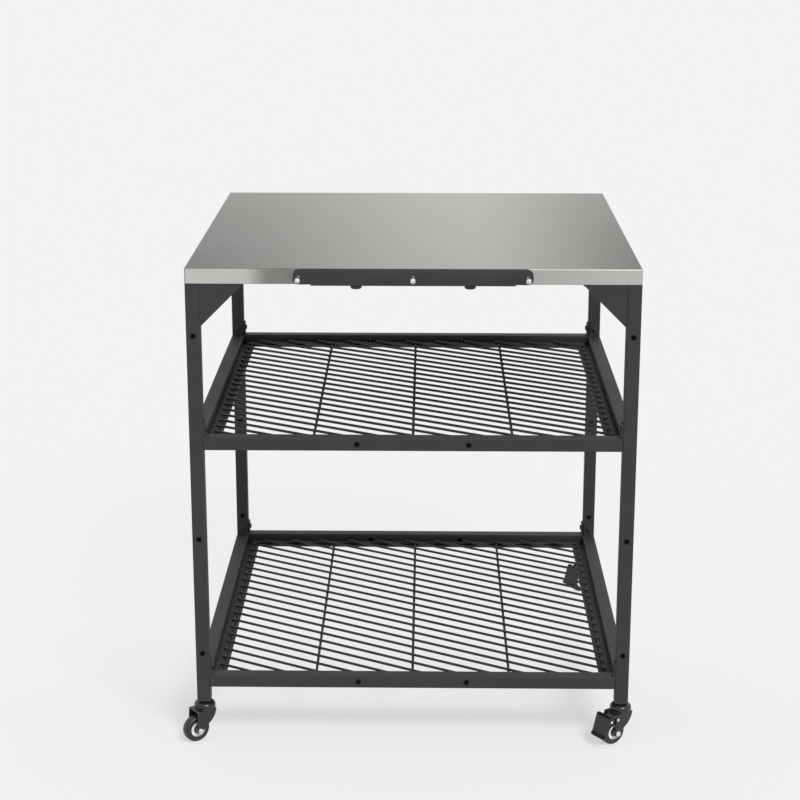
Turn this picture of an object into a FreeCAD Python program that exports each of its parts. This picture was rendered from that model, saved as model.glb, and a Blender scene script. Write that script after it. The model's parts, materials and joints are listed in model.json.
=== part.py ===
"""Outdoor pizza oven table: a square steel cart with a folded stainless top and two wire shelves.

Millimetres. +Z is up, and Z = 0 is the floor under the four wheels. The origin is midway
between the four legs. The front, which carries the tool bar, faces -Y.
Every caster is drawn in its own axes, u backwards along its trail, v along its axle and
z up from the floor under its stem, and is then turned about the stem to where it stands.
"""
import FreeCAD, Part
import math
import os

os.makedirs("parts", exist_ok=True)
V = FreeCAD.Vector
ORIGIN = V(0, 0, 0)
ALONG_X = V(1, 0, 0)
ALONG_Y = V(0, 1, 0)
UP = V(0, 0, 1)
DOWN = V(0, 0, -1)

# Overall
table_width = 800.0
table_depth = 800.0
table_height = 900.0

# Folded stainless top
top_sheet = 1.2
fascia_height = 28.0
fascia_corner_radius = 3.0
top_edge_radius = 2.0
bottom_fold_radius = 1.5
return_flange = 25.0

# Hat channels under the top
stiffener_width = 40.0
stiffener_brim = 14.0
stiffener_spacing = 300.0
stiffener_depth = 22.0
stiffener_sheet = 1.5
stiffener_end_gap = 4.0

# Legs
leg_side = 25.0
leg_wall = 1.5
leg_corner_radius = 2.5
leg_insert_heights = (778.0, 398.0, 175.0)

# Corner gussets between the legs and the top
gusset_side = 78.0
gusset_sheet = 2.5
gusset_setback = 2.0
gusset_relief_radius = 2.5
gusset_bolt_reach = 45.0
gusset_bolt_stickout = 6.0

# Shelf rails, with a bolted tab at each end
upper_shelf_height = 579.5
lower_shelf_height = 120.0
rail_height = 24.0
rail_width = 25.0
rail_wall = 1.5
rail_corner_radius = 2.0
rail_insert_spacing = 200.0
tab_sheet = 3.0
tab_rise = 28.0
tab_width = 21.0
tab_corner_radius = 6.0
tab_bolt_rise = 15.0
tab_bolt_length = 10.0

# Ledges that carry the wire shelves
ledge_width = 25.0
ledge_sheet = 3.0
ledge_rise = 6.0

# Wire shelves
edge_wire_diameter = 5.0
edge_wire_bend = 6.0
wire_diameter = 4.0
wire_pitch = 31.9
wire_angle = 30.0
stringer_bays = 4
stringer_lift = 0.3
wire_overhang = 3.5
grille_gap = 11.0
weld_depth = 0.5

# Domed bolts with a hexagon socket, and threaded inserts
bolt_radius = 3.0
bolt_head_radius = 5.5
bolt_head_height = 3.4
bolt_rim_height = 1.2
bolt_crown_radius = 3.0
socket_radius = 2.0
socket_depth = 2.0
insert_radius = 4.5
insert_bore_radius = 2.5
insert_collar_radius = 6.0
insert_collar_height = 0.9
insert_length = 13.0

# Tool bar on the front of the top
bar_length = 420.0
bar_height = 28.0
bar_sheet = 2.5
bar_top_corner_radius = 9.0
bar_low_corner_radius = 5.0
bar_flange_inset = 31.0
bar_flange_depth = 26.0
bar_bend_radius = 2.0
bar_screw_spacing = 200.0
bar_screw_inset = 11.0
bar_screw_length = 12.0
knob_radius = 10.0
knob_height = 7.0
knob_edge_radius = 3.0
knob_grips = 16
knob_grip_radius = 1.2

# Tool hooks, straight pegs with a ball at the end
hook_end_inset = 10.0
hook_wire_radius = 1.75
hook_below_top = 15.0
hook_reach = 30.0
hook_ball_radius = 5.2

# Wheels
wheel_diameter = 50.0
tyre_width = 18.0
tyre_shoulder = 5.0
hub_radius = 14.6
hub_inset = 0.8
hub_rim = 1.6
hub_dish = 1.1
hub_bore_radius = 5.2
bearing_radius = 8.6
bearing_seat_depth = 2.0
bearing_lip = 0.5
bearing_neck_radius = 7.0
bearing_bevel = 0.7
wheel_side_gap = 0.3
axle_radius = 4.0
axle_head_radius = 5.2
axle_head_height = 3.0
axle_head_round = 1.3
axle_tail = 2.0
axle_nut_radius = 5.8
axle_nut_height = 4.0
running_clearance = 0.05

# Caster stems, with the cap, race and kingpin that stay with the leg
stem_radius = 5.0
stem_length = 25.0
stem_tip = 1.0
collar_radius = 8.5
collar_height = 2.0
cap_radius = 19.9
cap_height = 10.5
cap_sheet = 1.8
cap_round = 7.0
race_radius = 9.0
kingpin_head_radius = 7.5
kingpin_head_height = 3.0
kingpin_bevel = 1.0
swivel_drop = 15.0
swivel_gap = 0.3

# Caster forks
caster_turn = 216.0
trail = 20.0
crown_clearance = 10.1
fork_sheet = 2.0
head_sheet = 2.4
bowl_rise = 2.0
bowl_round = 3.0
bowl_lip_round = 0.8
crown_overhang = 4.5
crown_round = 1.8
fork_front = 15.0
fork_front_bulge = 2.9
fork_shin_bulge = 1.8
waist_rise = 12.0
boss_radius = 6.5
boss_front_angle = 215.0
boss_low_angle = 290.0

# Brake pedals of the two locking casters
pedal_width = 38.0
pedal_sheet = 2.0
pedal_gap = 4.0
pedal_top_rise = 9.0
pedal_top_inset = 4.5
pedal_foot_rise = 2.0
pedal_hood_reach = 4.5
pedal_hood_rise = 2.5
pedal_lip = 8.0
pedal_lip_angle = 45.0
pedal_bend_radius = 1.5
pedal_boss_radius = 4.0
ear_sheet = 1.5
ear_fork_gap = 0.4
ear_tyre_gap = 4.6
ear_drop = 14.0
pivot_radius = 1.8
pivot_rise = 2.6
rivet_head_radius = 2.9
rivet_head_height = 1.3
shoe_gap = 0.3
shoe_depth = 3.0
shoe_start_angle = 48.0
shoe_end_angle = 72.0
shoe_rivet_angle = 62.0
shoe_rivet_rise = 3.4

# Leg plugs that take the caster stems
plug_foot = 4.0
plug_foot_bevel = 1.8
plug_depth = 30.0
plug_clearance = 0.1

# Allowances of the modelling itself
cut_margin = 1.0
near = 0.01
least_round = 0.3

# Sizes that follow from the ones above
half_width = table_width / 2
half_depth = table_depth / 2
fascia_bottom = table_height - fascia_height
leg_x = half_width - leg_side / 2
leg_y = half_depth - leg_side / 2
inner_x = half_width - leg_side
inner_y = half_depth - leg_side
wheel_radius = wheel_diameter / 2
tyre_half = tyre_width / 2
hub_half = tyre_half - hub_inset
ear_outer = tyre_half + ear_tyre_gap + ear_sheet
gap_half = ear_outer + ear_fork_gap
fork_half = gap_half + fork_sheet
crown_bottom = wheel_diameter + crown_clearance
crown_top = crown_bottom + head_sheet
caster_height = crown_top + swivel_drop
cap_top = caster_height - collar_height
bowl_radius = cap_radius
leg_bottom = caster_height + plug_foot
bar_low = min(table_height - bar_height, fascia_bottom) - bar_sheet
bar_front = -half_depth - bar_sheet
AXLE = V(trail, 0, wheel_radius)
CORNERS = {
    "front_left": (-1, -1),
    "front_right": (1, -1),
    "back_left": (-1, 1),
    "back_right": (1, 1),
}
BRAKED = ("front_right", "back_right")


def box(x0, x1, y0, y1, z0, z1):
    """Plain block between two corners."""
    return Part.makeBox(x1 - x0, y1 - y0, z1 - z0, V(x0, y0, z0))


def cylinder(radius, start, direction, length):
    """Round bar from a start point along a direction."""
    return Part.makeCylinder(radius, length, start, direction)


def drilled(shape, radius, start, direction, depth):
    """The shape with a round hole, begun a little before its start and run a little past its end."""
    begin = start - direction * cut_margin
    return shape.cut(cylinder(radius, begin, direction, depth + 2 * cut_margin))


def flat_polygon(points):
    """Face from a list of vectors."""
    return Part.Face(Part.makePolygon(points + [points[0]]))


def regular_polygon(centre, radius, sides, first, second):
    """Corners of a regular polygon in the plane of two directions."""
    turns = [2 * math.pi * i / sides for i in range(sides)]
    return [centre + first * (radius * math.cos(t)) + second * (radius * math.sin(t)) for t in turns]


def edges_where(shape, keep):
    """The edges whose two ends both satisfy a test."""
    return [e for e in shape.Edges if all(keep(v.Point) for v in e.Vertexes)]


def edges_along(shape, direction, keep=lambda point: True):
    """The edges parallel to a direction whose two ends both satisfy a test."""
    found = []
    for edge in edges_where(shape, keep):
        if len(edge.Vertexes) == 2:
            run = edge.Vertexes[1].Point - edge.Vertexes[0].Point
            if run.Length > near and run.cross(direction).Length < near:
                found.append(edge)
    return found


def rounded_bar(width, height, length, radius):
    """Solid bar along +X, rounded on its four long edges, centred on the X axis."""
    bar = box(0, length, -width / 2, width / 2, -height / 2, height / 2)
    return bar.makeFillet(radius, edges_along(bar, ALONG_X))


def tube(width, height, length, wall, radius):
    """Rectangular tube along +X, centred on the X axis."""
    outer = rounded_bar(width, height, length, radius)
    inner_radius = max(radius - wall, least_round)
    return outer.cut(rounded_bar(width - 2 * wall, height - 2 * wall, length, inner_radius))


def pressed_cup(radius, height, wall, floor, bend):
    """Round cup drawn from sheet, its base on Z = 0 and its mouth up, rounded where it turns."""
    outer = Part.makeCylinder(radius, height)
    outer = outer.makeFillet(bend, edges_where(outer, lambda p: p.z < near))
    inner = Part.makeCylinder(radius - wall, height, V(0, 0, floor))
    inner = inner.makeFillet(max(bend - wall, least_round), edges_where(inner, lambda p: p.z < floor + near))
    return outer.cut(inner)


def mirror_x(shape):
    return shape.mirror(ORIGIN, ALONG_X)


def mirror_y(shape):
    return shape.mirror(ORIGIN, ALONG_Y)


def to_corner(shape, side_x, side_y):
    """Copy a shape drawn at the corner +X +Y into another corner of the table."""
    placed = shape if side_x > 0 else mirror_x(shape)
    return placed if side_y > 0 else mirror_y(placed)


def fuse_all(shapes):
    """One solid from several that touch."""
    return shapes[0].fuse(shapes[1:]).removeSplitter()


def save(name, shapes):
    """Write one node: a single solid, or a group of separate ones."""
    items = shapes if isinstance(shapes, list) else [shapes]
    solids = [s for item in items for s in item.Solids]
    body = solids[0] if len(solids) == 1 else Part.makeCompound(solids)
    body.exportStep("parts/" + name + ".step")
    print(name, len(solids), "solids,", round(sum(s.Volume for s in solids)), "mm3")


# The top

def pan_block(inset, low):
    """Block under the top's surface, its upright edges and rim rounded to follow the folds."""
    high = table_height - inset
    block = box(-half_width + inset, half_width - inset, -half_depth + inset, half_depth - inset, low, high)
    corner = max(fascia_corner_radius - inset, least_round)
    rim = max(top_edge_radius - inset, least_round / 2)
    block = block.makeFillet(corner, edges_along(block, UP))
    return block.makeFillet(min(rim, corner * 0.9), edges_where(block, lambda p: p.z > high - near))


def table_top():
    """Sheet folded down on all four sides and back in underneath, with welded corners."""
    outer = pan_block(0, fascia_bottom)
    lower_rim = edges_where(outer, lambda p: p.z < fascia_bottom + near)
    outer = outer.makeFillet(min(bottom_fold_radius, fascia_corner_radius * 0.9), lower_rim)
    mouth = box(-half_width + return_flange, half_width - return_flange,
                -half_depth + return_flange, half_depth - return_flange,
                fascia_bottom - cut_margin, fascia_bottom + top_sheet + cut_margin)
    top = outer.cut(pan_block(top_sheet, fascia_bottom + top_sheet)).cut(mouth)
    for x, y in gusset_bolt_places() + bar_screw_places():
        top = drilled(top, bolt_radius, V(x, y, fascia_bottom), UP, top_sheet)
    return top


def top_stiffeners():
    """Two hat channels, front to back, brims welded under the sheet."""
    length = table_depth - 2 * top_sheet - 2 * stiffener_end_gap
    under = table_height - top_sheet
    half = stiffener_width / 2
    brim = half + stiffener_brim
    inside = half - stiffener_sheet
    low = under - stiffener_depth
    right = [(inside, under), (brim, under), (brim, under - stiffener_sheet),
             (half, under - stiffener_sheet), (half, low)]
    left = [(-x, z) for x, z in reversed(right)]
    trough = [(-inside, low + stiffener_sheet), (inside, low + stiffener_sheet)]
    outline = [V(x, -length / 2, z) for x, z in right + left + trough]
    hat = flat_polygon(outline).extrude(V(0, length, 0))
    return [hat.translated(V(side * stiffener_spacing / 2, 0, 0)) for side in (-1, 1)]


# Legs and gussets

def leg():
    """Upright square tube at the corner +X +Y, drilled for inserts and for the shelf bolts."""
    upright = tube(leg_side, leg_side, fascia_bottom - leg_bottom, leg_wall, leg_corner_radius)
    upright.rotate(ORIGIN, ALONG_Y, -90)
    upright.translate(V(leg_x, leg_y, leg_bottom))
    for height in leg_insert_heights:
        upright = drilled(upright, insert_radius, V(leg_x, inner_y, height), ALONG_Y, leg_side)
    for shelf in (upper_shelf_height, lower_shelf_height):
        height = tab_bolt_height(shelf)
        upright = drilled(upright, bolt_radius, V(inner_x, leg_y, height), ALONG_X, leg_wall)
        upright = drilled(upright, bolt_radius, V(leg_x, inner_y, height), ALONG_Y, leg_wall)
    return upright


def gusset_web(corner, along, out):
    """Upright triangle of a gusset, its square corner relieved, thickened in one direction."""
    web = flat_polygon([corner, corner + along * gusset_side, corner + DOWN * gusset_side])
    return drilled(web.extrude(out * gusset_sheet), gusset_relief_radius, corner, out, gusset_sheet)


def gusset():
    """Folded corner bracket at +X +Y: two triangles and the plate bolted under the top."""
    top = fascia_bottom
    x_out = half_width - gusset_setback
    y_out = half_depth - gusset_setback
    front = gusset_web(V(inner_x, y_out, top), ALONG_X * -1, ALONG_Y * -1)
    side = gusset_web(V(x_out, inner_y, top), ALONG_Y * -1, ALONG_X * -1)
    plate = flat_polygon([V(inner_x, inner_y, top), V(inner_x, y_out, top),
                          V(inner_x - gusset_side, y_out, top),
                          V(x_out, inner_y - gusset_side, top), V(x_out, inner_y, top)])
    bracket = fuse_all([front, side, plate.extrude(DOWN * gusset_sheet)])
    for x, y in ((inner_x - gusset_bolt_reach, leg_y), (leg_x, inner_y - gusset_bolt_reach)):
        bracket = drilled(bracket, bolt_radius, V(x, y, top), DOWN, gusset_sheet)
    return bracket


def gusset_bolt_places():
    """Centres of the eight bolts that hold the top on the gussets."""
    places = []
    for side_x, side_y in CORNERS.values():
        places.append((side_x * (inner_x - gusset_bolt_reach), side_y * leg_y))
        places.append((side_x * leg_x, side_y * (inner_y - gusset_bolt_reach)))
    return places


def domed_bolt(length):
    """Domed bolt with a hexagon socket: head above Z = 0, shank below."""
    rim = Part.makeCylinder(bolt_head_radius, bolt_rim_height)
    crown_height = bolt_head_height - bolt_rim_height
    crown = Part.makeCone(bolt_head_radius, bolt_crown_radius, crown_height, V(0, 0, bolt_rim_height))
    shank = Part.makeCylinder(bolt_radius, length, V(0, 0, -length))
    floor = V(0, 0, bolt_head_height - socket_depth)
    socket = flat_polygon(regular_polygon(floor, socket_radius, 6, ALONG_X, ALONG_Y))
    return fuse_all([rim, crown, shank]).cut(socket.extrude(UP * (socket_depth + cut_margin)))


def gusset_bolts():
    """Bolts up through the gussets into the top's folded flange."""
    bolt = domed_bolt(gusset_sheet + top_sheet + gusset_bolt_stickout)
    bolt.rotate(ORIGIN, ALONG_X, 180)
    return [bolt.translated(V(x, y, fascia_bottom - gusset_sheet)) for x, y in gusset_bolt_places()]


# Shelves

def tab_bolt_height(shelf_height):
    """Height of the bolts in the end tabs of one shelf."""
    return shelf_height + rail_height / 2 + tab_bolt_rise


def end_tab():
    """Bolting tab welded on a rail end: lies in the YZ plane at X = 0, thick towards +X."""
    high = rail_height / 2 + tab_rise
    plate = box(0, tab_sheet, -tab_width / 2, tab_width / 2, -rail_height / 2, high)
    plate = plate.makeFillet(tab_corner_radius, edges_along(plate, ALONG_X, lambda p: p.z > high - near))
    return drilled(plate, bolt_radius, V(0, 0, tab_bolt_height(0)), ALONG_X, tab_sheet)


def rail(length):
    """Shelf rail along X, centred on the origin, its two tabs welded in."""
    beam = tube(rail_width, rail_height, length, rail_wall, rail_corner_radius)
    beam.translate(V(-length / 2, 0, 0))
    tab = end_tab()
    tab.translate(V(-length / 2, 0, 0))
    return fuse_all([beam, tab, mirror_x(tab)])


def drilled_rail(length):
    """Front or back rail, with two holes through it for the inserts."""
    beam = rail(length)
    for x in (-rail_insert_spacing / 2, rail_insert_spacing / 2):
        beam = drilled(beam, insert_radius, V(x, -rail_width / 2, 0), ALONG_Y, rail_width)
    return beam


def shelf_rails(height):
    """The four rails of one shelf, outer faces flush with the legs."""
    across = drilled_rail(2 * inner_x)
    along = rail(2 * inner_y)
    along.rotate(ORIGIN, UP, 90)
    rail_y = half_depth - rail_width / 2
    rail_x = half_width - rail_width / 2
    return {
        "front": across.translated(V(0, -rail_y, height)),
        "back": across.translated(V(0, rail_y, height)),
        "left": along.translated(V(-rail_x, 0, height)),
        "right": along.translated(V(rail_x, 0, height)),
    }


def ledge_top(height):
    """Height of the surface on which one wire shelf lies."""
    return height - rail_height / 2 + ledge_rise


def shelf_ledges(height):
    """Four mitred strips welded inside the rails, under the wire shelf."""
    x0 = half_width - rail_width
    y0 = half_depth - rail_width
    x1 = x0 - ledge_width
    y1 = y0 - ledge_width
    top = ledge_top(height)
    back = flat_polygon([V(-x0, y0, top), V(x0, y0, top), V(x1, y1, top), V(-x1, y1, top)])
    right = flat_polygon([V(x0, y0, top), V(x0, -y0, top), V(x1, -y1, top), V(x1, y1, top)])
    strips = [face.extrude(DOWN * ledge_sheet) for face in (back, right)]
    return strips + [mirror_y(strips[0]), mirror_x(strips[1])]


def edge_wire(edge_x, edge_y, height):
    """Bent wire that runs all round a shelf, through its middle line."""
    radius = edge_wire_diameter / 2
    plate = box(-edge_x, edge_x, -edge_y, edge_y, height - radius, height)
    plate = plate.makeFillet(edge_wire_bend, edges_along(plate, UP))
    top = max(plate.Faces, key=lambda face: face.CenterOfMass.z)
    path = Part.Wire(top.OuterWire.OrderedEdges)
    first = path.OrderedEdges[0]
    place = first.valueAt(first.FirstParameter)
    section = Part.Wire(Part.makeCircle(radius, place, first.tangentAt(first.FirstParameter)))
    return path.makePipeShell([section], True, False)


def clipped_line(offset, limit_x, limit_y):
    """Ends of the slanting line at an offset from the centre, cut at a rectangle."""
    angle = math.radians(wire_angle)
    direction = V(math.cos(angle), -math.sin(angle), 0)
    across = V(math.sin(angle), math.cos(angle), 0) * offset
    in_x = sorted(((-limit_x - across.x) / direction.x, (limit_x - across.x) / direction.x))
    in_y = sorted(((-limit_y - across.y) / direction.y, (limit_y - across.y) / direction.y))
    first = max(in_x[0], in_y[0]) - wire_overhang
    last = min(in_x[1], in_y[1]) + wire_overhang
    return across + direction * first, across + direction * last


def slanting_wires(limit_x, limit_y, height):
    """The evenly spaced wires that cross a rectangle on the slant, those too short left out."""
    angle = math.radians(wire_angle)
    reach = limit_x * math.sin(angle) + limit_y * math.cos(angle)
    count = math.ceil(reach / wire_pitch - 0.5)
    wires = []
    for i in range(-count, count):
        start, end = clipped_line((i + 0.5) * wire_pitch, limit_x, limit_y)
        run = end - start
        if run.Length > wire_pitch:
            wires.append(cylinder(wire_diameter / 2, start + UP * height, run, run.Length))
    return wires


def grille(height):
    """Welded wire shelf: edge wire and stringers below, slanting wires across their tops."""
    radius = wire_diameter / 2
    edge_radius = edge_wire_diameter / 2
    edge_x = half_width - rail_width - grille_gap - edge_radius
    edge_y = half_depth - rail_width - grille_gap - edge_radius
    low = ledge_top(height) + edge_radius
    wires = [edge_wire(edge_x, edge_y, low)]
    for i in range(1, stringer_bays):
        x = -edge_x + i * 2 * edge_x / stringer_bays
        wires.append(cylinder(radius, V(x, -edge_y, low + stringer_lift), ALONG_Y, 2 * edge_y))
    wires += slanting_wires(edge_x, edge_y, low + edge_radius + radius - weld_depth)
    return fuse_all(wires)


def shelf_bolts(height):
    """Eight bolts through the end tabs of one shelf into the legs."""
    z = tab_bolt_height(height)
    along_x = domed_bolt(tab_bolt_length)
    along_x.rotate(ORIGIN, ALONG_Y, -90)
    along_y = domed_bolt(tab_bolt_length)
    along_y.rotate(ORIGIN, ALONG_X, 90)
    pair = [along_x.translated(V(inner_x - tab_sheet, leg_y, z)),
            along_y.translated(V(leg_x, inner_y - tab_sheet, z))]
    return [to_corner(bolt, side_x, side_y) for side_x, side_y in CORNERS.values() for bolt in pair]


def insert_at(x, y, z):
    """Threaded insert whose collar lies on a face towards -Y, bored right through."""
    face = V(x, y, z)
    barrel = cylinder(insert_radius, face, ALONG_Y, insert_length)
    collar = cylinder(insert_collar_radius, face, ALONG_Y * -1, insert_collar_height)
    start = V(x, y - insert_collar_height, z)
    return drilled(fuse_all([barrel, collar]), insert_bore_radius, start, ALONG_Y,
                   insert_length + insert_collar_height)


def threaded_inserts():
    """Inserts in the front faces of the front and back rails and of the four legs."""
    inserts = []
    for height in (upper_shelf_height, lower_shelf_height):
        for face_y in (-half_depth, half_depth - rail_width):
            for x in (-rail_insert_spacing / 2, rail_insert_spacing / 2):
                inserts.append(insert_at(x, face_y, height))
    for height in leg_insert_heights:
        for x in (-leg_x, leg_x):
            inserts.append(insert_at(x, -half_depth, height))
            inserts.append(insert_at(x, inner_y, height))
    return inserts


# Tool bar

def bar_screw_places():
    """Centres of the two grip screws of the tool bar."""
    y = -half_depth + bar_screw_inset
    return [(-bar_screw_spacing / 2, y), (bar_screw_spacing / 2, y)]


def hook_places():
    """Where along the bar the tool hooks are."""
    outermost = bar_length / 2 - hook_end_inset
    return (-outermost, 0.0, outermost)


def bar_face():
    """Upright face of the tool bar, its ends rounded at the top and less at the bottom."""
    top = table_height
    low = top - bar_height
    plate = box(-bar_length / 2, bar_length / 2, bar_front, -half_depth, low, top)
    upper = edges_along(plate, ALONG_Y, lambda p: p.z > top - near)
    plate = plate.makeFillet(bar_top_corner_radius, upper)
    lower = edges_along(plate, ALONG_Y, lambda p: p.z < low + near)
    return plate.makeFillet(bar_low_corner_radius, lower)


def accessory_bar():
    """Bent sheet: face over the fascia, and a shorter flange folded back under the top."""
    half = bar_length / 2 - bar_flange_inset
    flange = box(-half, half, bar_front, bar_front + bar_flange_depth, bar_low, bar_low + bar_sheet)
    neck_top = table_height - bar_height + bar_top_corner_radius
    neck = box(-half, half, bar_front, -half_depth, bar_low, neck_top)
    angle = fuse_all([flange, neck])
    bend = edges_along(angle, ALONG_X, lambda p: abs(p.y - bar_front) < near and p.z < bar_low + near)
    bar = fuse_all([bar_face(), angle.makeFillet(bar_bend_radius, bend)])
    for x, y in bar_screw_places():
        bar = drilled(bar, bolt_radius, V(x, y, bar_low), UP, bar_sheet)
    for x in hook_places():
        place = V(x, bar_front, table_height - hook_below_top)
        bar = drilled(bar, hook_wire_radius, place, ALONG_Y, bar_sheet)
    return bar


def bar_thumb_screws():
    """Domed grip screws that hold the tool bar up against the top's flange."""
    knob = Part.makeCylinder(knob_radius, knob_height, V(0, 0, -knob_height))
    knob = knob.makeFillet(knob_edge_radius, edges_where(knob, lambda p: p.z < near - knob_height))
    for place in regular_polygon(V(0, 0, -knob_height), knob_radius, knob_grips, ALONG_X, ALONG_Y):
        knob = drilled(knob, knob_grip_radius, place, UP, knob_height)
    screw = fuse_all([knob, Part.makeCylinder(bolt_radius, bar_screw_length)])
    return [screw.translated(V(x, y, bar_low)) for x, y in bar_screw_places()]


def tool_hook():
    """One hook at X = 0: a peg straight out through the bar's face, with a ball at its end."""
    start = V(0, -half_depth, table_height - hook_below_top)
    ball = V(0, bar_front - hook_reach, start.z)
    peg = cylinder(hook_wire_radius, start, ALONG_Y * -1, start.y - ball.y)
    return fuse_all([peg, Part.makeSphere(hook_ball_radius, ball)])


def tool_hooks():
    hook = tool_hook()
    return [hook.translated(V(x, 0, 0)) for x in hook_places()]


# Casters, in their own axes

def leg_plug():
    """Plug driven into a leg, its bevelled foot showing below the tube, bored for the stem."""
    inside = leg_side - 2 * leg_wall - 2 * plug_clearance
    body = rounded_bar(inside, inside, plug_depth, max(leg_corner_radius - leg_wall, least_round))
    foot = rounded_bar(leg_side, leg_side, plug_foot, leg_corner_radius)
    foot.translate(V(-plug_foot, 0, 0))
    rim = edges_where(foot, lambda p: p.x < near - plug_foot)
    foot = foot.makeChamfer(min(plug_foot_bevel, leg_corner_radius * 0.9), rim)
    plug = fuse_all([body, foot])
    plug.rotate(ORIGIN, ALONG_Y, -90)
    plug.translate(V(0, 0, leg_bottom))
    bore = stem_radius + running_clearance
    return drilled(plug, bore, V(0, 0, caster_height), UP, plug_foot + plug_depth)


def caster_stem():
    """Stem with its collar, swivel cap, race and kingpin head, all fixed to the leg."""
    neck_low = crown_bottom - swivel_gap
    head_low = neck_low - kingpin_head_height
    rod = cylinder(stem_radius, V(0, 0, head_low), UP, caster_height + stem_length - head_low)
    rod = rod.makeChamfer(stem_tip, edges_where(rod, lambda p: p.z > caster_height))
    collar = cylinder(collar_radius, V(0, 0, cap_top - cap_sheet), UP, collar_height + cap_sheet)
    race_low = crown_top + swivel_gap
    race = cylinder(race_radius, V(0, 0, race_low), UP, cap_top - race_low)
    head = cylinder(kingpin_head_radius, V(0, 0, head_low), UP, kingpin_head_height)
    head = head.makeChamfer(kingpin_bevel, edges_where(head, lambda p: p.z < head_low + near))
    cap = pressed_cup(cap_radius, cap_height, cap_sheet, cap_sheet, cap_round)
    cap.rotate(ORIGIN, ALONG_X, 180)
    cap.translate(V(0, 0, cap_top))
    return fuse_all([rod, collar, race, head, cap])


def about_axle(radius, degrees):
    """Point in the plane of u and z at a radius and angle from the wheel's centre."""
    turn = math.radians(degrees)
    return AXLE + V(radius * math.cos(turn), 0, radius * math.sin(turn))


def bulged_arc(start, end, bulge):
    """Arc whose middle stands off its chord, to the left of it in the plane of u and z."""
    along = (end - start).normalize()
    middle = (start + end) * 0.5 + V(-along.z, 0, along.x) * bulge
    return Part.Arc(start, middle, end).toShape()


def cheek(v):
    """One side of the fork: square at the crown, waisted in front, round about the axle."""
    back_top = V(trail + crown_overhang, 0, crown_top)
    front_top = V(-fork_front, 0, crown_top)
    waist = V(0, 0, wheel_radius + waist_rise)
    back_low = about_axle(boss_radius, 0)
    bottom = about_axle(boss_radius, boss_low_angle)
    front_low = about_axle(boss_radius, boss_front_angle)
    outline = Part.Wire([
        Part.LineSegment(front_top, back_top).toShape(),
        Part.LineSegment(back_top, back_low).toShape(),
        Part.Arc(back_low, bottom, front_low).toShape(),
        bulged_arc(front_low, waist, -fork_shin_bulge),
        bulged_arc(waist, front_top, fork_front_bulge),
    ])
    return Part.Face(outline).translated(ALONG_Y * v).extrude(ALONG_Y * fork_sheet)


def pivot_place():
    """Middle of the brake pivot, just above the top of the tyre."""
    return V(trail, 0, wheel_diameter + pivot_rise)


def bored_across(shape, radius, place):
    """The shape with a hole along v through the whole width of the fork."""
    return drilled(shape, radius, place - ALONG_Y * fork_half, ALONG_Y, 2 * fork_half)


def fork(braked):
    """Pressed fork: shallow bowl under the swivel cap, crown over the wheel and two cheeks."""
    rim = crown_top + bowl_rise
    bowl = pressed_cup(bowl_radius, rim - crown_bottom, fork_sheet, head_sheet, bowl_round)
    bowl.translate(V(0, 0, crown_bottom))
    lip = edges_where(bowl, lambda p: p.z > rim - near and math.hypot(p.x, p.y) > bowl_radius - near)
    bowl = bowl.makeFillet(min(bowl_lip_round, fork_sheet * 0.4), lip)
    crown = box(-fork_front, trail + crown_overhang, -fork_half, fork_half, crown_bottom, crown_top)
    channel = fuse_all([crown, cheek(gap_half), cheek(-fork_half)])
    shoulders = edges_along(channel, ALONG_X,
                            lambda p: abs(abs(p.y) - fork_half) < near and p.z > crown_top - near)
    channel = channel.makeFillet(min(crown_round, fork_sheet * 0.9), shoulders)
    body = fuse_all([bowl, channel])
    body = drilled(body, stem_radius + running_clearance, V(0, 0, crown_bottom), UP, head_sheet)
    body = bored_across(body, axle_radius + running_clearance, AXLE)
    if braked:
        body = bored_across(body, pivot_radius + running_clearance, pivot_place())
    return body


def turned_about_axle(profile):
    """Solid turned about the axle from an outline of (radius, v) pairs."""
    points = [AXLE + V(r, v, 0) for r, v in profile]
    return flat_polygon(points).revolve(AXLE, ALONG_Y, 360)


def tyre():
    """Soft tread ring with rounded shoulders."""
    side = AXLE - ALONG_Y * tyre_half
    ring = cylinder(wheel_radius, side, ALONG_Y, tyre_width)
    ring = ring.makeFillet(tyre_shoulder, [e for e in ring.Edges if e.Closed])
    return drilled(ring, hub_radius, side, ALONG_Y, tyre_width)


def hub():
    """Wheel core, dished between its rim and the bearing seat on both sides."""
    seat = hub_half - bearing_seat_depth
    web = hub_half - hub_dish
    one_side = [
        (hub_bore_radius, seat), (bearing_radius, seat), (bearing_radius, web),
        (hub_radius - hub_rim, web), (hub_radius - hub_rim / 2, hub_half), (hub_radius, hub_half),
    ]
    other_side = [(r, -v) for r, v in reversed(one_side)]
    return turned_about_axle(one_side + other_side)


def bearing_covers():
    """Two bearing covers pressed into the hub, each with a neck that spaces the fork."""
    seat = hub_half - bearing_seat_depth
    face = hub_half + bearing_lip
    end = gap_half - wheel_side_gap
    bore = axle_radius + running_clearance
    cover = turned_about_axle([
        (bore, 0.0), (bore, end), (bearing_neck_radius, end),
        (bearing_neck_radius + bearing_bevel, face), (bearing_radius - bearing_bevel, face),
        (bearing_radius, face - bearing_bevel), (bearing_radius, seat),
        (hub_bore_radius, seat), (hub_bore_radius, 0.0),
    ])
    return [cover, mirror_y(cover)]


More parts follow.
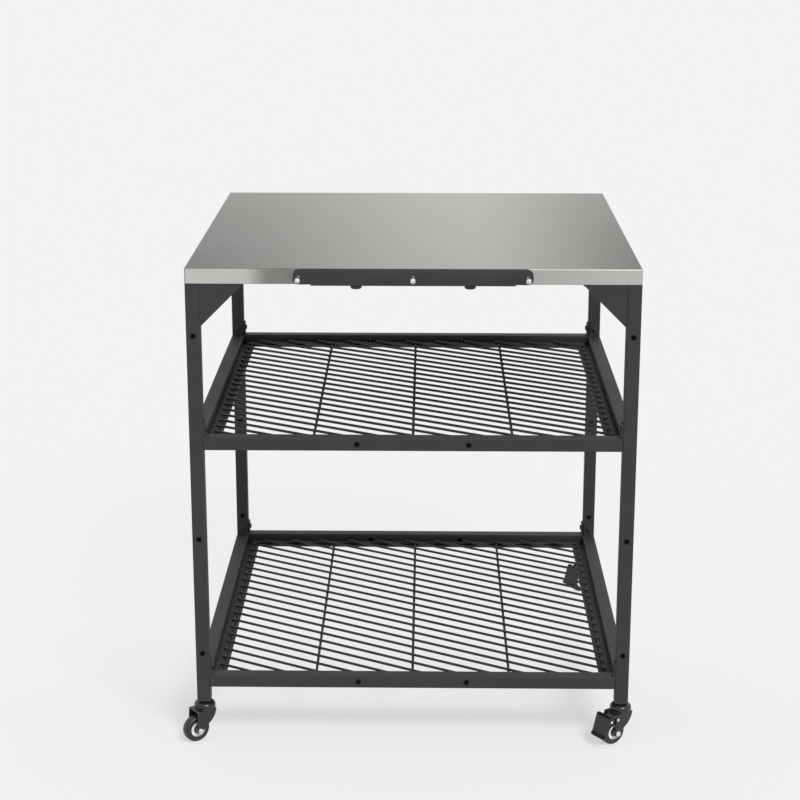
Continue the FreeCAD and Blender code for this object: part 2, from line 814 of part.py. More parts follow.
def axle():
    """Bolt through fork and wheel, with a rounded head on one side and a nut on the other."""
    nut_face = AXLE - ALONG_Y * fork_half
    start = nut_face - ALONG_Y * (axle_nut_height + axle_tail)
    shank = cylinder(axle_radius, start, ALONG_Y, 2 * fork_half + axle_nut_height + axle_tail)
    head = cylinder(axle_head_radius, AXLE + ALONG_Y * fork_half, ALONG_Y, axle_head_height)
    outer_rim = edges_where(head, lambda p: p.y > fork_half + near)
    head = head.makeFillet(min(axle_head_round, axle_head_height * 0.9), outer_rim)
    corners = regular_polygon(nut_face, axle_nut_radius, 6, ALONG_X, UP)
    nut = flat_polygon(corners).extrude(ALONG_Y * -axle_nut_height)
    nut = drilled(nut, axle_radius, nut_face, ALONG_Y * -1, axle_nut_height)
    return [fuse_all([shank, head]), nut]


def pedal_line():
    """Middle of the pedal's bent sheet in the plane of u and z: hood, top, foot and lip."""
    top = V(trail + wheel_radius - pedal_top_inset, 0, wheel_diameter + pedal_top_rise)
    foot = AXLE + V(wheel_radius + pedal_gap + pedal_sheet / 2, 0, pedal_foot_rise)
    hood = top + V(-pedal_hood_reach, 0, pedal_hood_rise)
    lip_angle = math.radians(pedal_lip_angle)
    lip = foot + V(pedal_lip * math.cos(lip_angle), 0, -pedal_lip * math.sin(lip_angle))
    return hood, top, foot, lip


def offset_line(points, distance):
    """A line of points in the plane of u and z, moved to its left, its corners kept mitred."""
    runs = [(b - a).normalize() for a, b in zip(points, points[1:])]
    moved = []
    for i, point in enumerate(points):
        before = runs[max(i - 1, 0)]
        after = runs[min(i, len(runs) - 1)]
        along = (before + after).normalize()
        left = V(-along.z, 0, along.x)
        moved.append(point + left * (distance / along.dot(after)))
    return moved


def bent_strip(points, thickness, width, inner_radius):
    """Sheet bent along the line of points that is its middle, centred on v = 0."""
    sides = [offset_line(points, thickness / 2), offset_line(points, -thickness / 2)]
    sheet = flat_polygon(sides[0] + sides[1][::-1]).extrude(ALONG_Y * width)
    sheet.translate(ALONG_Y * (-width / 2))
    for i in range(1, len(points) - 1):
        before = (points[i] - points[i - 1]).normalize()
        after = (points[i + 1] - points[i]).normalize()
        inner_side = 0 if before.cross(after).y < 0 else 1
        for side in (0, 1):
            corner = sides[side][i]
            bend = edges_along(sheet, ALONG_Y,
                               lambda p: abs(p.x - corner.x) < near and abs(p.z - corner.z) < near)
            radius = inner_radius if side == inner_side else inner_radius + thickness
            sheet = sheet.makeFillet(radius, bend)
    return sheet


def shoe_rivet_place():
    """Middle of the rivet that holds the shoe between the pedal's ears, behind the fork."""
    return about_axle(wheel_radius + shoe_rivet_rise, shoe_rivet_angle)


def brake_shoe(inner):
    """Block between the ears that follows the tread round part of a turn."""
    side = AXLE - ALONG_Y * ear_outer
    ring = cylinder(inner + shoe_depth, side, ALONG_Y, 2 * ear_outer)
    ring = drilled(ring, inner, side, ALONG_Y, 2 * ear_outer)
    far = 2 * (inner + shoe_depth)
    wedge = flat_polygon([AXLE, about_axle(far, shoe_start_angle), about_axle(far, shoe_end_angle)])
    wedge.translate(ALONG_Y * -ear_outer)
    return ring.common(wedge.extrude(ALONG_Y * (2 * ear_outer)))


def brake_pedal():
    """Formed pedal: foot plate behind the wheel, two ears on the pivot and the brake shoe."""
    hood, top, foot, lip = pedal_line()
    plate = bent_strip([hood, top, foot, lip], pedal_sheet, pedal_width, pedal_bend_radius)
    pivot = pivot_place()
    inner = wheel_radius + shoe_gap
    heel = top + (foot - top).normalize() * ear_drop
    side = flat_polygon([pivot + UP * pedal_boss_radius, top, heel, about_axle(inner, shoe_start_angle),
                         pivot + DOWN * pedal_boss_radius])
    boss = cylinder(pedal_boss_radius, pivot, ALONG_Y, ear_sheet)
    ear = fuse_all([side.extrude(ALONG_Y * ear_sheet), boss])
    ears = [ear.translated(ALONG_Y * (ear_outer - ear_sheet)), ear.translated(ALONG_Y * -ear_outer)]
    pedal = fuse_all([plate, brake_shoe(inner)] + ears)
    pedal = bored_across(pedal, inner, AXLE)
    pedal = bored_across(pedal, pivot_radius + running_clearance, pivot)
    return bored_across(pedal, pivot_radius, shoe_rivet_place())


def rivet(place, half_length):
    """Round pin along v with a flat head at each end."""
    pin = cylinder(pivot_radius, place - ALONG_Y * half_length, ALONG_Y, 2 * half_length)
    near_head = cylinder(rivet_head_radius, place - ALONG_Y * half_length, ALONG_Y * -1, rivet_head_height)
    far_head = cylinder(rivet_head_radius, place + ALONG_Y * half_length, ALONG_Y, rivet_head_height)
    return fuse_all([pin, near_head, far_head])


def stand(shape, side_x, side_y):
    """Turn a caster piece about its stem and put it under its leg."""
    placed = shape.copy()
    placed.rotate(ORIGIN, UP, caster_turn)
    placed.translate(V(side_x * leg_x, side_y * leg_y, 0))
    return placed


def save_table():
    save("table_top", table_top())
    save("top_stiffeners", top_stiffeners())
    upright = leg()
    bracket = gusset()
    for corner, (side_x, side_y) in CORNERS.items():
        save("leg_" + corner, to_corner(upright, side_x, side_y))
        save("corner_gusset_" + corner, to_corner(bracket, side_x, side_y))
    save("gusset_bolts", gusset_bolts())
    for shelf, height in (("upper", upper_shelf_height), ("lower", lower_shelf_height)):
        for side, beam in shelf_rails(height).items():
            save(shelf + "_shelf_rail_" + side, beam)
        save(shelf + "_shelf_ledges", shelf_ledges(height))
        save(shelf + "_shelf_grille", grille(height))
    save("shelf_bolts", shelf_bolts(upper_shelf_height) + shelf_bolts(lower_shelf_height))
    save("threaded_inserts", threaded_inserts())
    save("accessory_bar", accessory_bar())
    save("bar_thumb_screws", bar_thumb_screws())
    save("tool_hooks", tool_hooks())


def save_casters():
    plug = leg_plug()
    save("leg_plugs", [plug.translated(V(sx * leg_x, sy * leg_y, 0)) for sx, sy in CORNERS.values()])
    common = {"stem": [caster_stem()], "tyre": [tyre()], "hub": [hub()],
              "bearing_covers": bearing_covers(), "axle": axle()}
    braked_only = {"brake_pedal": [brake_pedal()], "brake_pivot": [rivet(pivot_place(), fork_half)],
                   "shoe_rivet": [rivet(shoe_rivet_place(), ear_outer)]}
    for corner, (side_x, side_y) in CORNERS.items():
        braked = corner in BRAKED
        pieces = dict(common, fork=[fork(braked)])
        if braked:
            pieces.update(braked_only)
        for piece, solids in pieces.items():
            save("caster_" + corner + "_" + piece, [stand(s, side_x, side_y) for s in solids])


save_table()
save_casters()
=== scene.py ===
import json
import math

import bmesh
import bpy
from mathutils import Matrix, Vector


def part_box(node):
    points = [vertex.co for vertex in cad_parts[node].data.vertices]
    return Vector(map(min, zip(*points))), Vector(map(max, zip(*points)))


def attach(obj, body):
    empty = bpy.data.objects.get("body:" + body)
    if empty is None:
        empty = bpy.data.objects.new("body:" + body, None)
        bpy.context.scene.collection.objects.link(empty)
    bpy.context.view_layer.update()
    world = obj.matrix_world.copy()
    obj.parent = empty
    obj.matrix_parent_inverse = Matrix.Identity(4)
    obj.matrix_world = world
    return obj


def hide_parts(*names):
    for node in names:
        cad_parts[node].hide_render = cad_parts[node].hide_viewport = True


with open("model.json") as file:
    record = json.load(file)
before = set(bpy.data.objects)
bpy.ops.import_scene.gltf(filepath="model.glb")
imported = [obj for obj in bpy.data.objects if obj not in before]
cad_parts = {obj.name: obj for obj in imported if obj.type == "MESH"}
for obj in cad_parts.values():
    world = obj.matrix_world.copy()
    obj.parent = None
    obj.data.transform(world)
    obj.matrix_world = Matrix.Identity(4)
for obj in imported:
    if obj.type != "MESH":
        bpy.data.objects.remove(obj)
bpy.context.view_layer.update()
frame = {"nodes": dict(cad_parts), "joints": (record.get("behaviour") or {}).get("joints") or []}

bl_info = {
    "name": "Outdoor Oven Table",
    "version": (1, 0, 0),
    "blender": (4, 5, 0),
    "location": "View3D > Sidebar > Oven Table",
    "description": "Gives the packed oven table its real finishes and fine forms, in a plain studio",
    "category": "Object",
}

MM = 0.001
CORNERS = ("front_left", "front_right", "back_left", "back_right")
BRAKED = ("front_right", "back_right")
SHELVES = ("upper", "lower")
LEGS = ["leg_" + corner for corner in CORNERS]
GUSSETS = ["corner_gusset_" + corner for corner in CORNERS]
SIDES = ("front", "back", "left", "right")
RAILS = [f"{shelf}_shelf_rail_{side}" for shelf in SHELVES for side in SIDES]
LEDGES = [shelf + "_shelf_ledges" for shelf in SHELVES]
CASTER_TURN = math.radians(216)
JOINTS = {joint["name"]: joint for joint in frame["joints"]}


def linear(hex_colour):
    """Linear red, green and blue of an sRGB hex colour."""
    shares = [int(hex_colour[i:i + 2], 16) / 255 for i in (1, 3, 5)]
    return [s / 12.92 if s <= 0.04045 else ((s + 0.055) / 1.055) ** 2.4 for s in shares]


# Settings

class TableFinishes(bpy.types.PropertyGroup):
    """Colours and gloss of the table's finishes."""

    # Painted reflection: the sheet's colour where its painted reflection is brightest, and along its
    # scratches
    steel_bright_reflection_and_scratch: bpy.props.FloatVectorProperty(
        name="Stainless, light", description="Colour of the sheet along its polished scratches",
        subtype="COLOR", min=0, max=1, default=linear("#cecdc9"))
    # Painted reflection: the sheet's colour where its painted reflection is dimmest, and between its
    # scratches
    steel_dim_reflection_and_scratch: bpy.props.FloatVectorProperty(
        name="Stainless, dark", description="Colour of the sheet between its scratches",
        subtype="COLOR", min=0, max=1, default=linear("#595956"))
    coat: bpy.props.FloatVectorProperty(
        name="Powder coat", description="Colour of the baked coat on the frame",
        subtype="COLOR", min=0, max=1, default=linear("#292b2d"))
    coat_gloss: bpy.props.FloatProperty(
        name="Coat roughness", description="Roughness of the baked coat",
        subtype="FACTOR", min=0, max=1, default=0.58)
    # Painted shade: the frame's powder coat made darker for the shade that falls on the wires; the ledges
    # take it too
    wire_coat: bpy.props.FloatVectorProperty(
        name="Wire coat", description="Colour of the coat on the wire shelves",
        subtype="COLOR", min=0, max=1, default=linear("#242527"))
    caster_coat: bpy.props.FloatVectorProperty(
        name="Caster coat", description="Colour of the dipped coat on the caster pressings",
        subtype="COLOR", min=0, max=1, default=linear("#1f1f23"))
    tread: bpy.props.FloatVectorProperty(
        name="Tread", description="Colour of the soft tyres",
        subtype="COLOR", min=0, max=1, default=linear("#181817"))
    wheel_core: bpy.props.FloatVectorProperty(
        name="Wheel core", description="Colour of the moulded wheel cores",
        subtype="COLOR", min=0, max=1, default=linear("#efefec"))


class FineForms(bpy.types.PropertyGroup):
    """Sizes of the fine forms that scene.py adds to the solids."""

    weld_reach: bpy.props.FloatProperty(
        name="Weld reach", description="How far a weld between two crossing wires spreads",
        subtype="DISTANCE", unit="LENGTH", min=0.001, max=0.006, default=0.0034)
    weld_height: bpy.props.FloatProperty(
        name="Weld height", description="Half the height of a weld between two wires",
        subtype="DISTANCE", unit="LENGTH", min=0.0005, max=0.003, default=0.0012)
    edge_roll: bpy.props.FloatProperty(
        name="Edge roll", description="Rounding of the edges of pressed sheet",
        subtype="DISTANCE", unit="LENGTH", min=0.0001, max=0.0008, default=0.0005)
    thread_pitch: bpy.props.FloatProperty(
        name="Thread pitch", description="Distance between the turns of the fasteners' threads",
        subtype="DISTANCE", unit="LENGTH", min=0.0005, max=0.002, default=0.001)
    parting_line: bpy.props.FloatProperty(
        name="Parting line", description="How far the tyres' moulding line stands out",
        subtype="DISTANCE", unit="LENGTH", min=0, max=0.0005, default=0.00012)


class Studio(bpy.types.PropertyGroup):
    """The floor, the light and the camera."""

    backdrop: bpy.props.FloatVectorProperty(
        name="Backdrop", description="Colour of the floor and of what stands behind the table",
        subtype="COLOR", min=0, max=1, default=linear("#f3f3f3"))
    shadow_share: bpy.props.FloatProperty(
        name="Shadow share", description="How much of the floor's colour is lit, and so keeps shadows",
        subtype="FACTOR", min=0, max=1, default=0.4)
    # Painted light: behind the table the floor's own glow, not a lamp, washes out its shadows
    far_share: bpy.props.FloatProperty(
        name="Far share", description="The same behind the table, where lamps of its own wash the floor out",
        subtype="FACTOR", min=0, max=1, default=0.08)
    sky_strength: bpy.props.FloatProperty(
        name="Fill", description="Strength of the even light from all round", min=0, max=2, default=0.5)
    sun_strength: bpy.props.FloatProperty(
        name="Key", description="Strength of the soft key light", min=0, max=5, default=2.1)
    sun_size: bpy.props.FloatProperty(
        name="Key size", description="Angle that the key light fills, which softens its shadows",
        subtype="ANGLE", unit="ROTATION", min=0, max=1.5, default=math.radians(22))
    sun_height: bpy.props.FloatProperty(
        name="Key height", description="Angle of the key light above the floor",
        subtype="ANGLE", unit="ROTATION", min=0, max=1.57, default=math.radians(47))
    sun_turn: bpy.props.FloatProperty(
        name="Key turn", description="Angle of the key light to the right of the front",
        subtype="ANGLE", unit="ROTATION", min=-3.2, max=3.2, default=math.radians(30))
    camera_place: bpy.props.FloatVectorProperty(
        name="Camera place", description="Where the camera stands",
        subtype="TRANSLATION", unit="LENGTH", default=(0.0256, -3.6456, 1.5746))
    camera_dip: bpy.props.FloatProperty(
        name="Camera dip", description="Angle of the view below the horizon",
        subtype="ANGLE", unit="ROTATION", default=math.radians(15.69))
    camera_turn: bpy.props.FloatProperty(
        name="Camera turn", description="Angle of the view to the left of straight ahead",
        subtype="ANGLE", unit="ROTATION", default=math.radians(0.855))
    field_of_view: bpy.props.FloatProperty(
        name="Field of view", description="Angle across the square picture",
        subtype="ANGLE", unit="ROTATION", default=2 * math.atan(400 / 1900))


# Shader nodes

def add_node(tree, kind, inputs=(), **settings):
    """Add a shader node with its settings, and fill its inputs, in order or by name or number.

    An input is a value, a socket to link from, or a node whose result is linked. Colours are
    given without alpha.
    """
    node = tree.nodes.new("ShaderNode" + kind)
    for name, value in settings.items():
        setattr(node, name, value)
    for key, value in inputs.items() if isinstance(inputs, dict) else enumerate(inputs):
        socket = node.inputs[key]
        if isinstance(value, bpy.types.Node):
            value = next(output for output in value.outputs if output.enabled)
        if isinstance(value, bpy.types.NodeSocket):
            tree.links.new(value, socket)
        elif socket.type == "RGBA":
            socket.default_value = (*value, 1)
        else:
            socket.default_value = value
    return node


def value_inputs(share, first, second):
    """Inputs of a Mix node that gives a value between two, by their numbers, as names repeat."""
    return {0: share, 2: first, 3: second}


def colour_inputs(share, first, second):
    """Inputs of a Mix node that gives a colour between two."""
    return {0: share, 6: first, 7: second}


def per_metre(millimetres):
    """Texture scale that makes a pattern's features about this wide."""
    return 1 / (millimetres * MM)


def start_material(name):
    """Empty node tree of a new material, and the coordinates of the piece in metres."""
    material = bpy.data.materials.new(name)
    material.use_nodes = True
    tree = material.node_tree
    tree.nodes.clear()
    return tree, add_node(tree, "TexCoord").outputs["Object"]


def end_material(tree, colour, roughness, relief, strength, depth, **constants):
    """Shader with its colour and roughness, raised by a relief to a depth in millimetres."""
    bump = add_node(tree, "Bump", {"Height": relief, "Strength": strength, "Distance": depth * MM})
    inputs = {"Base Color": colour, "Roughness": roughness, "Normal": bump}
    for name, value in constants.items():
        inputs[name.replace("_", " ")] = value
    add_node(tree, "OutputMaterial", {"Surface": add_node(tree, "BsdfPrincipled", inputs)})


def speckle(tree, place, size, detail=3.0, stretch=(1, 1, 1)):
    """Noise from 0 to 1 whose features are about this many millimetres wide."""
    moved = add_node(tree, "Mapping", {"Vector": place, "Scale": stretch})
    return add_node(tree, "TexNoise", {"Vector": moved, "Scale": per_metre(size), "Detail": detail})


def shaded(colour, factor):
    """A colour made darker or lighter by a factor."""
    return [min(1.0, channel * factor) for channel in colour]


# Materials

# Painted reflection on the brushed sheet: places in metres from its middle, and shares of painted light from
# 0 to 1
TOP_HALF = 0.41
MIDDLE_SHARE = 0.66
LEFT_SIDE = (-0.5, 0.15)
RIGHT_SIDE = (0.1, 0.46)
FRONT_TO_BACK = (-0.4, 0.4)
BACK_SHARE = 0.3
FASCIA_REFLECTIONS = ((-0.41, 1.0), (-0.3, 0.95), (-0.25, 0.24), (-0.2, 0.17),
                (0.1, 0.55), (0.22, 0.66), (0.41, 0.8))

# How far a surface leans over an edge, as a cosine, and how much the coat is lightened there, as a painted
# edge highlight and as rubbing wear
EDGE_SHEEN_LEAN = (0.72, 0.97)
EDGE_SHEEN_SHARE = 0.5


def painted_reflection_tone(tree, axes, facing):
    """Painted reflection of the sheet, from 0 to 1: most along the middle and towards the back, and in bands
    on the fascias.
    """
    rise = add_node(tree, "MapRange", (axes["X"], *LEFT_SIDE, 0.0, MIDDLE_SHARE),
                    interpolation_type="SMOOTHSTEP")
    fall = add_node(tree, "MapRange", (axes["X"], *RIGHT_SIDE, MIDDLE_SHARE, 0.0),
                    interpolation_type="SMOOTHSTEP")
    glow = add_node(tree, "Math", (rise, fall), operation="MINIMUM")
    depth = add_node(tree, "MapRange", (axes["Y"], *FRONT_TO_BACK, 0.0, BACK_SHARE))
    flat = add_node(tree, "Mix", value_inputs(glow, depth, 1.0))
    reach = add_node(tree, "MapRange", (axes["X"], -TOP_HALF, TOP_HALF, 0.0, 1.0))
    bands = add_node(tree, "ValToRGB", (reach,))
    bands.color_ramp.interpolation = "EASE"
    for _ in FASCIA_REFLECTIONS[2:]:
        bands.color_ramp.elements.new(0.5)
    for stop, (where, tone) in zip(bands.color_ramp.elements, FASCIA_REFLECTIONS):
        stop.position = (where + TOP_HALF) / (2 * TOP_HALF)
        stop.color = (tone, tone, tone, 1)
    return add_node(tree, "Mix", value_inputs(facing["Y"], flat, bands))


def painted_fold_lines(tree, axes, facing, tilt, flat, dark, light):
    """Colour of the flat, and on the folds a thin painted line: a painted highlight to the right and below,
    else painted shade.
    """
    widest = add_node(tree, "Math", (facing["X"], facing["Y"]), operation="MAXIMUM")
    widest = add_node(tree, "Math", (widest, facing["Z"]), operation="MAXIMUM")
    right = add_node(tree, "MapRange", (axes["X"], -0.1, 0.2, 0.0, 1.0))
    below = add_node(tree, "MapRange", (tilt, -0.2, 0.0, 1.0, 0.0))
    highlight_share = add_node(tree, "Math", (right, below), operation="MAXIMUM")
    # Painted shade and painted highlight colours for the fold line
    dull, fold_highlight = shaded(dark, 1.3), shaded(light, 0.85)
    line = add_node(tree, "Mix", colour_inputs(highlight_share, dull, fold_highlight), data_type="RGBA")
    folded = add_node(tree, "MapRange", (widest, 0.8, 0.97, 0.85, 0.0))
    return add_node(tree, "Mix", colour_inputs(folded, flat, line), data_type="RGBA")


def brushed_stainless(name, finishes, brightness):
    """Cold-rolled stainless sheet, belt-brushed from front to back and then folded.

    Fine straight scratches turn down over the front and back folds and make the sheet silky.
    Its colour holds a painted reflection: light along the middle and dark to both sides and the
    front, and in upright bands on the fascias. The folds carry a thin painted line, a highlight
    to the right and below and painted shade elsewhere. The real scratches are finer than the
    picture can show, so they are drawn 2.5 mm apart.
    """
    tree, place = start_material(name)
    axes = add_node(tree, "SeparateXYZ", (place,)).outputs
    face = add_node(tree, "NewGeometry").outputs["Normal"]
    tilt = add_node(tree, "SeparateXYZ", (face,)).outputs["Z"]
    upright = add_node(tree, "VectorMath", (face,), operation="ABSOLUTE")
    facing = add_node(tree, "SeparateXYZ", (upright,)).outputs
    across = add_node(tree, "Mix", value_inputs(facing["X"], axes["X"], axes["Z"]))
    along = add_node(tree, "Mix", value_inputs(facing["Y"], axes["Y"], axes["Z"]))
    sheet = add_node(tree, "CombineXYZ", (across, along))
    scratches = speckle(tree, sheet, 2.5, 4.0, (1, 0.02, 1))
    clouds = speckle(tree, sheet, 260.0, 2.0)
    # Painted reflection, lightly mixed with random clouds and then the scratches, sets the sheet's colour
    reflection_and_clouds = add_node(tree, "Mix", value_inputs(0.08, painted_reflection_tone(tree, axes, facing), clouds))
    reflection_clouds_and_scratches = add_node(tree, "Mix", value_inputs(0.07, reflection_and_clouds, scratches))
    dark, light = (shaded(colour, brightness) for colour in (finishes.steel_dim_reflection_and_scratch, finishes.steel_bright_reflection_and_scratch))
    flat = add_node(tree, "Mix", colour_inputs(reflection_clouds_and_scratches, dark, light), data_type="RGBA")
    # Painted highlight and painted shade as a thin line along the folds
    colour = painted_fold_lines(tree, axes, facing, tilt, flat, dark, light)
    haze = add_node(tree, "Mix", value_inputs(0.5, scratches, clouds))
    roughness = add_node(tree, "MapRange", (haze, 0.3, 0.7, 0.3, 0.44))
    grain = add_node(tree, "VectorMath", ((1, 0, 0), face), operation="CROSS_PRODUCT")
    side = add_node(tree, "CombineXYZ", {"Y": facing["X"]})
    brushed = add_node(tree, "VectorMath", (grain, side), operation="ADD")
    end_material(tree, colour, roughness, scratches, 0.08, 0.06,
                 Metallic=1.0, Anisotropic=0.55, Tangent=brushed)


def coat_with_edge_sheen_and_wear(tree, share, colour, spread, width, edge_sheen_and_wear):
    """Colour of a coat, mottled by a share, and lighter along edges over a width in millimetres, as a painted
    edge highlight and as rubbing wear.
    """
    dark, light = (shaded(colour, factor) for factor in spread)
    coat = add_node(tree, "Mix", colour_inputs(share, dark, light), data_type="RGBA")
    smooth = add_node(tree, "Bevel", {"Radius": width * MM}, samples=4)
    true = add_node(tree, "NewGeometry").outputs["Normal"]
    along = add_node(tree, "VectorMath", (smooth, true), operation="DOT_PRODUCT")
    edge = add_node(tree, "MapRange", (along, *EDGE_SHEEN_LEAN, EDGE_SHEEN_SHARE, 0.0))
    return add_node(tree, "Mix", colour_inputs(edge, coat, shaded(colour, edge_sheen_and_wear)), data_type="RGBA")


def powder_coat(name, colour, roughness, peel):
    """Polyester powder sprayed on steel and baked.

    It gives a satin skin with a fine orange peel, a little darker where it lies thin, and lighter
    along edges, as a painted edge highlight and as rubbing wear. The peel is drawn 2 or 3 mm wide, several
    times its size.
    """
    tree, place = start_material(name)
    grain = speckle(tree, place, peel, 4.0)
    clouds = speckle(tree, place, 70.0, 2.0)
    mottle = add_node(tree, "Mix", value_inputs(0.6, grain, clouds))
    share = add_node(tree, "MapRange", (mottle, 0.35, 0.65, 0.0, 1.0))
    # Edges lightened: painted edge highlight and rubbing wear
    coat = coat_with_edge_sheen_and_wear(tree, share, colour, (0.86, 1.16), 1.6, 1.9)
    dull = add_node(tree, "MapRange", (mottle, 0.3, 0.7, roughness - 0.06, roughness + 0.08))
    end_material(tree, coat, dull, grain, 0.25, 0.12, IOR=1.5, Specular_IOR_Level=0.4)


def dipped_coat(name, colour):
    """Pressed steel with an electro-dipped black coat: thin and glossy enough to catch a rim of light.

    It is painted lighter along the pressed edges: a highlight on the bends, and wear where handling rubs it.
    """
    tree, place = start_material(name)
    clouds = speckle(tree, place, 6.0)
    grain = speckle(tree, place, 0.7, 2.0)
    # Edges lightened strongly: mostly a painted highlight on the bends, with some rubbing wear
    coat = coat_with_edge_sheen_and_wear(tree, clouds, colour, (0.85, 1.2), 1.4, 3.6)
    gloss = add_node(tree, "MapRange", (clouds, 0.3, 0.7, 0.2, 0.28))
    end_material(tree, coat, gloss, grain, 0.12, 0.04, IOR=1.5)


def clouded_metal(name, size, colours, roughness, strength, depth, metallic):
    """Metal whose colour and gloss vary softly together, over clouds of a size in millimetres."""
    tree, place = start_material(name)
    clouds = speckle(tree, place, size)
    dark, light = (linear(colour) for colour in colours)
    colour = add_node(tree, "Mix", colour_inputs(clouds, dark, light), data_type="RGBA")
    gloss = add_node(tree, "MapRange", (clouds, 0.3, 0.7, *roughness))
    end_material(tree, colour, gloss, clouds, strength, depth, Metallic=metallic)


def black_oxide(name, dark, light):
    """Steel fasteners blackened in a hot bath and oiled: a thin dark skin with a soft metal sheen."""
    clouded_metal(name, 1.5, (dark, light), (0.32, 0.5), 0.15, 0.05, 0.7)


def bright_zinc(name):
    """Steel plated with zinc and passivated: bright, cool and slightly cloudy."""
    clouded_metal(name, 1.2, ("#c3c4ca", "#ebebee"), (0.34, 0.5), 0.1, 0.04, 1.0)


def turned_steel(name):
    """Stainless rod and balls, turned and tumbled: bright, with a soft sheen and faint rings."""
    tree, place = start_material(name)
    rings = add_node(tree, "TexWave", {"Vector": place, "Scale": per_metre(2.5), "Distortion": 1.5},
                     bands_direction="Z").outputs["Fac"]
    dark, light = linear("#c4c3c0"), linear("#e6e5e2")
    colour = add_node(tree, "Mix", colour_inputs(rings, dark, light), data_type="RGBA")
    gloss = add_node(tree, "MapRange", (rings, 0.0, 1.0, 0.16, 0.26))
    end_material(tree, colour, gloss, rings, 0.05, 0.03, Metallic=1.0)


def moulded_nylon(name, colour, roughness):
    """Glass-filled nylon from a spark-eroded mould: dark, with an even fine grain and a soft shine."""
    tree, place = start_material(name)
    grain = speckle(tree, place, 0.8, 2.0)
    flow = speckle(tree, place, 12.0, 2.0)
    dark, light = shaded(colour, 0.85), shaded(colour, 1.2)
    body = add_node(tree, "Mix", colour_inputs(flow, dark, light), data_type="RGBA")
    shine = add_node(tree, "MapRange", (grain, 0.3, 0.7, roughness - 0.05, roughness + 0.07))
    end_material(tree, body, shine, grain, 0.3, 0.06, IOR=1.53)


def soft_tread(name, colour):
    """Thermoplastic rubber moulded on the wheel core: dull, slightly dusty, smooth on its shoulders."""
    tree, place = start_material(name)
    dust = speckle(tree, place, 5.0, 4.0)
    grain = speckle(tree, place, 0.6, 2.0)
    clean, dusty = shaded(colour, 0.8), shaded(colour, 1.45)
    body = add_node(tree, "Mix", colour_inputs(dust, clean, dusty), data_type="RGBA")
    dull = add_node(tree, "MapRange", (dust, 0.3, 0.7, 0.32, 0.46))
    end_material(tree, body, dull, grain, 0.2, 0.05, IOR=1.5, Sheen_Weight=0.06)


def moulded_polypropylene(name, colour):
    """Polypropylene wheel core, injection moulded: pale and waxy, with a faint flow pattern."""
    tree, place = start_material(name)
    flow = speckle(tree, place, 4.0, 2.0)
    thick, thin = shaded(colour, 0.93), shaded(colour, 1.04)
    body = add_node(tree, "Mix", colour_inputs(flow, thick, thin), data_type="RGBA")
    shine = add_node(tree, "MapRange", (flow, 0.3, 0.7, 0.3, 0.42))
    end_material(tree, body, shine, flow, 0.08, 0.05, IOR=1.49,
                 Subsurface_Weight=0.25, Subsurface_Scale=0.004, Subsurface_Radius=(1, 0.95, 0.9))


# Meshes, drawn in millimetres

def skin(mesh, rows, closed=False):
    """Faces between neighbouring rings of points; a ring of one point makes a fan."""
    rings = [[mesh.verts.new(point) for point in row] for row in rows]
    following = rings[1:] + (rings[:1] if closed else [])
    for low, high in zip(rings, following):
        count = max(len(low), len(high))
        for i in range(count):
            j = (i + 1) % count
            corners = [low[i % len(low)], low[j % len(low)], high[j % len(high)], high[i % len(high)]]
            mesh.faces.new(dict.fromkeys(corners))
    return rings


def capped(mesh, rows):
    """Skin whose first and last rings are closed, each by one face."""
    rings = skin(mesh, rows)
    mesh.faces.new(rings[0][::-1])
    mesh.faces.new(rings[-1])


def arc(centre, radius, start, end, steps=6):
    """Points along an arc, both ends included, its angles in degrees."""
    turns = [math.radians(start + (end - start) * i / steps) for i in range(steps + 1)]
    return [(centre[0] + radius * math.cos(t), centre[1] + radius * math.sin(t)) for t in turns]


def turned(mesh, profile, place=None, steps=48, outline=None, closed=False):
    """Turn a profile of (radius, height) about the Z axis of a placement.

    An outline gives the reach at each turn for a radius, where a ring isn't round.
    """
    place = place or Matrix.Identity(4)
    rows = []
    for radius, height in profile:
        if radius == 0:
            rows.append([place @ Vector((0, 0, height))])
            continue
        row = []
        for i in range(steps):
            turn = 2 * math.pi * i / steps
            reach = outline(turn, radius) if outline else radius
            row.append(place @ Vector((reach * math.cos(turn), reach * math.sin(turn), height)))
        rows.append(row)
    skin(mesh, rows, closed)


def ring_round(point, a, b, radius, sides):
    """Points of a round about a point, in the plane of two directions."""
    turns = [2 * math.pi * k / sides for k in range(sides)]
    return [point + (a * math.cos(t) + b * math.sin(t)) * radius for t in turns]


def swept(mesh, path, radius, sides=16, closed=False):
    """Round wire along a path of points, its open ends domed."""
    count = len(path)
    tangents = []
    for i in range(count):
        before = path[(i - 1) % count] if closed or i > 0 else path[i]
        after = path[(i + 1) % count] if closed or i < count - 1 else path[i]
        tangents.append((after - before).normalized())
    side = tangents[0].orthogonal().normalized()
    rings = []
    for i, point in enumerate(path):
        if i:
            side = tangents[i - 1].rotation_difference(tangents[i]) @ side
        side = (side - tangents[i] * side.dot(tangents[i])).normalized()
        rings.append((point, side, tangents[i].cross(side)))
    rows = [ring_round(*ring, radius, sides) for ring in rings]
    if not closed:
        first = domed_end(rings[0], -tangents[0], radius, sides)
        last = domed_end(rings[-1], tangents[-1], radius, sides)
        rows = first[::-1] + rows[1:-1] + last
    skin(mesh, rows, closed)


def domed_end(ring, outward, radius, sides):
    """Rings that close a wire's end, from its full round to its tip, within its length."""
    point, a, b = ring
    rows = []
    for share in (1.0, 0.9, 0.65, 0.35):
        sunk = WIRE_DOME * radius * (1 - math.sqrt(1 - share * share))
        rows.append(ring_round(point - outward * sunk, a, b, radius * share, sides))
    return rows + [[point]]


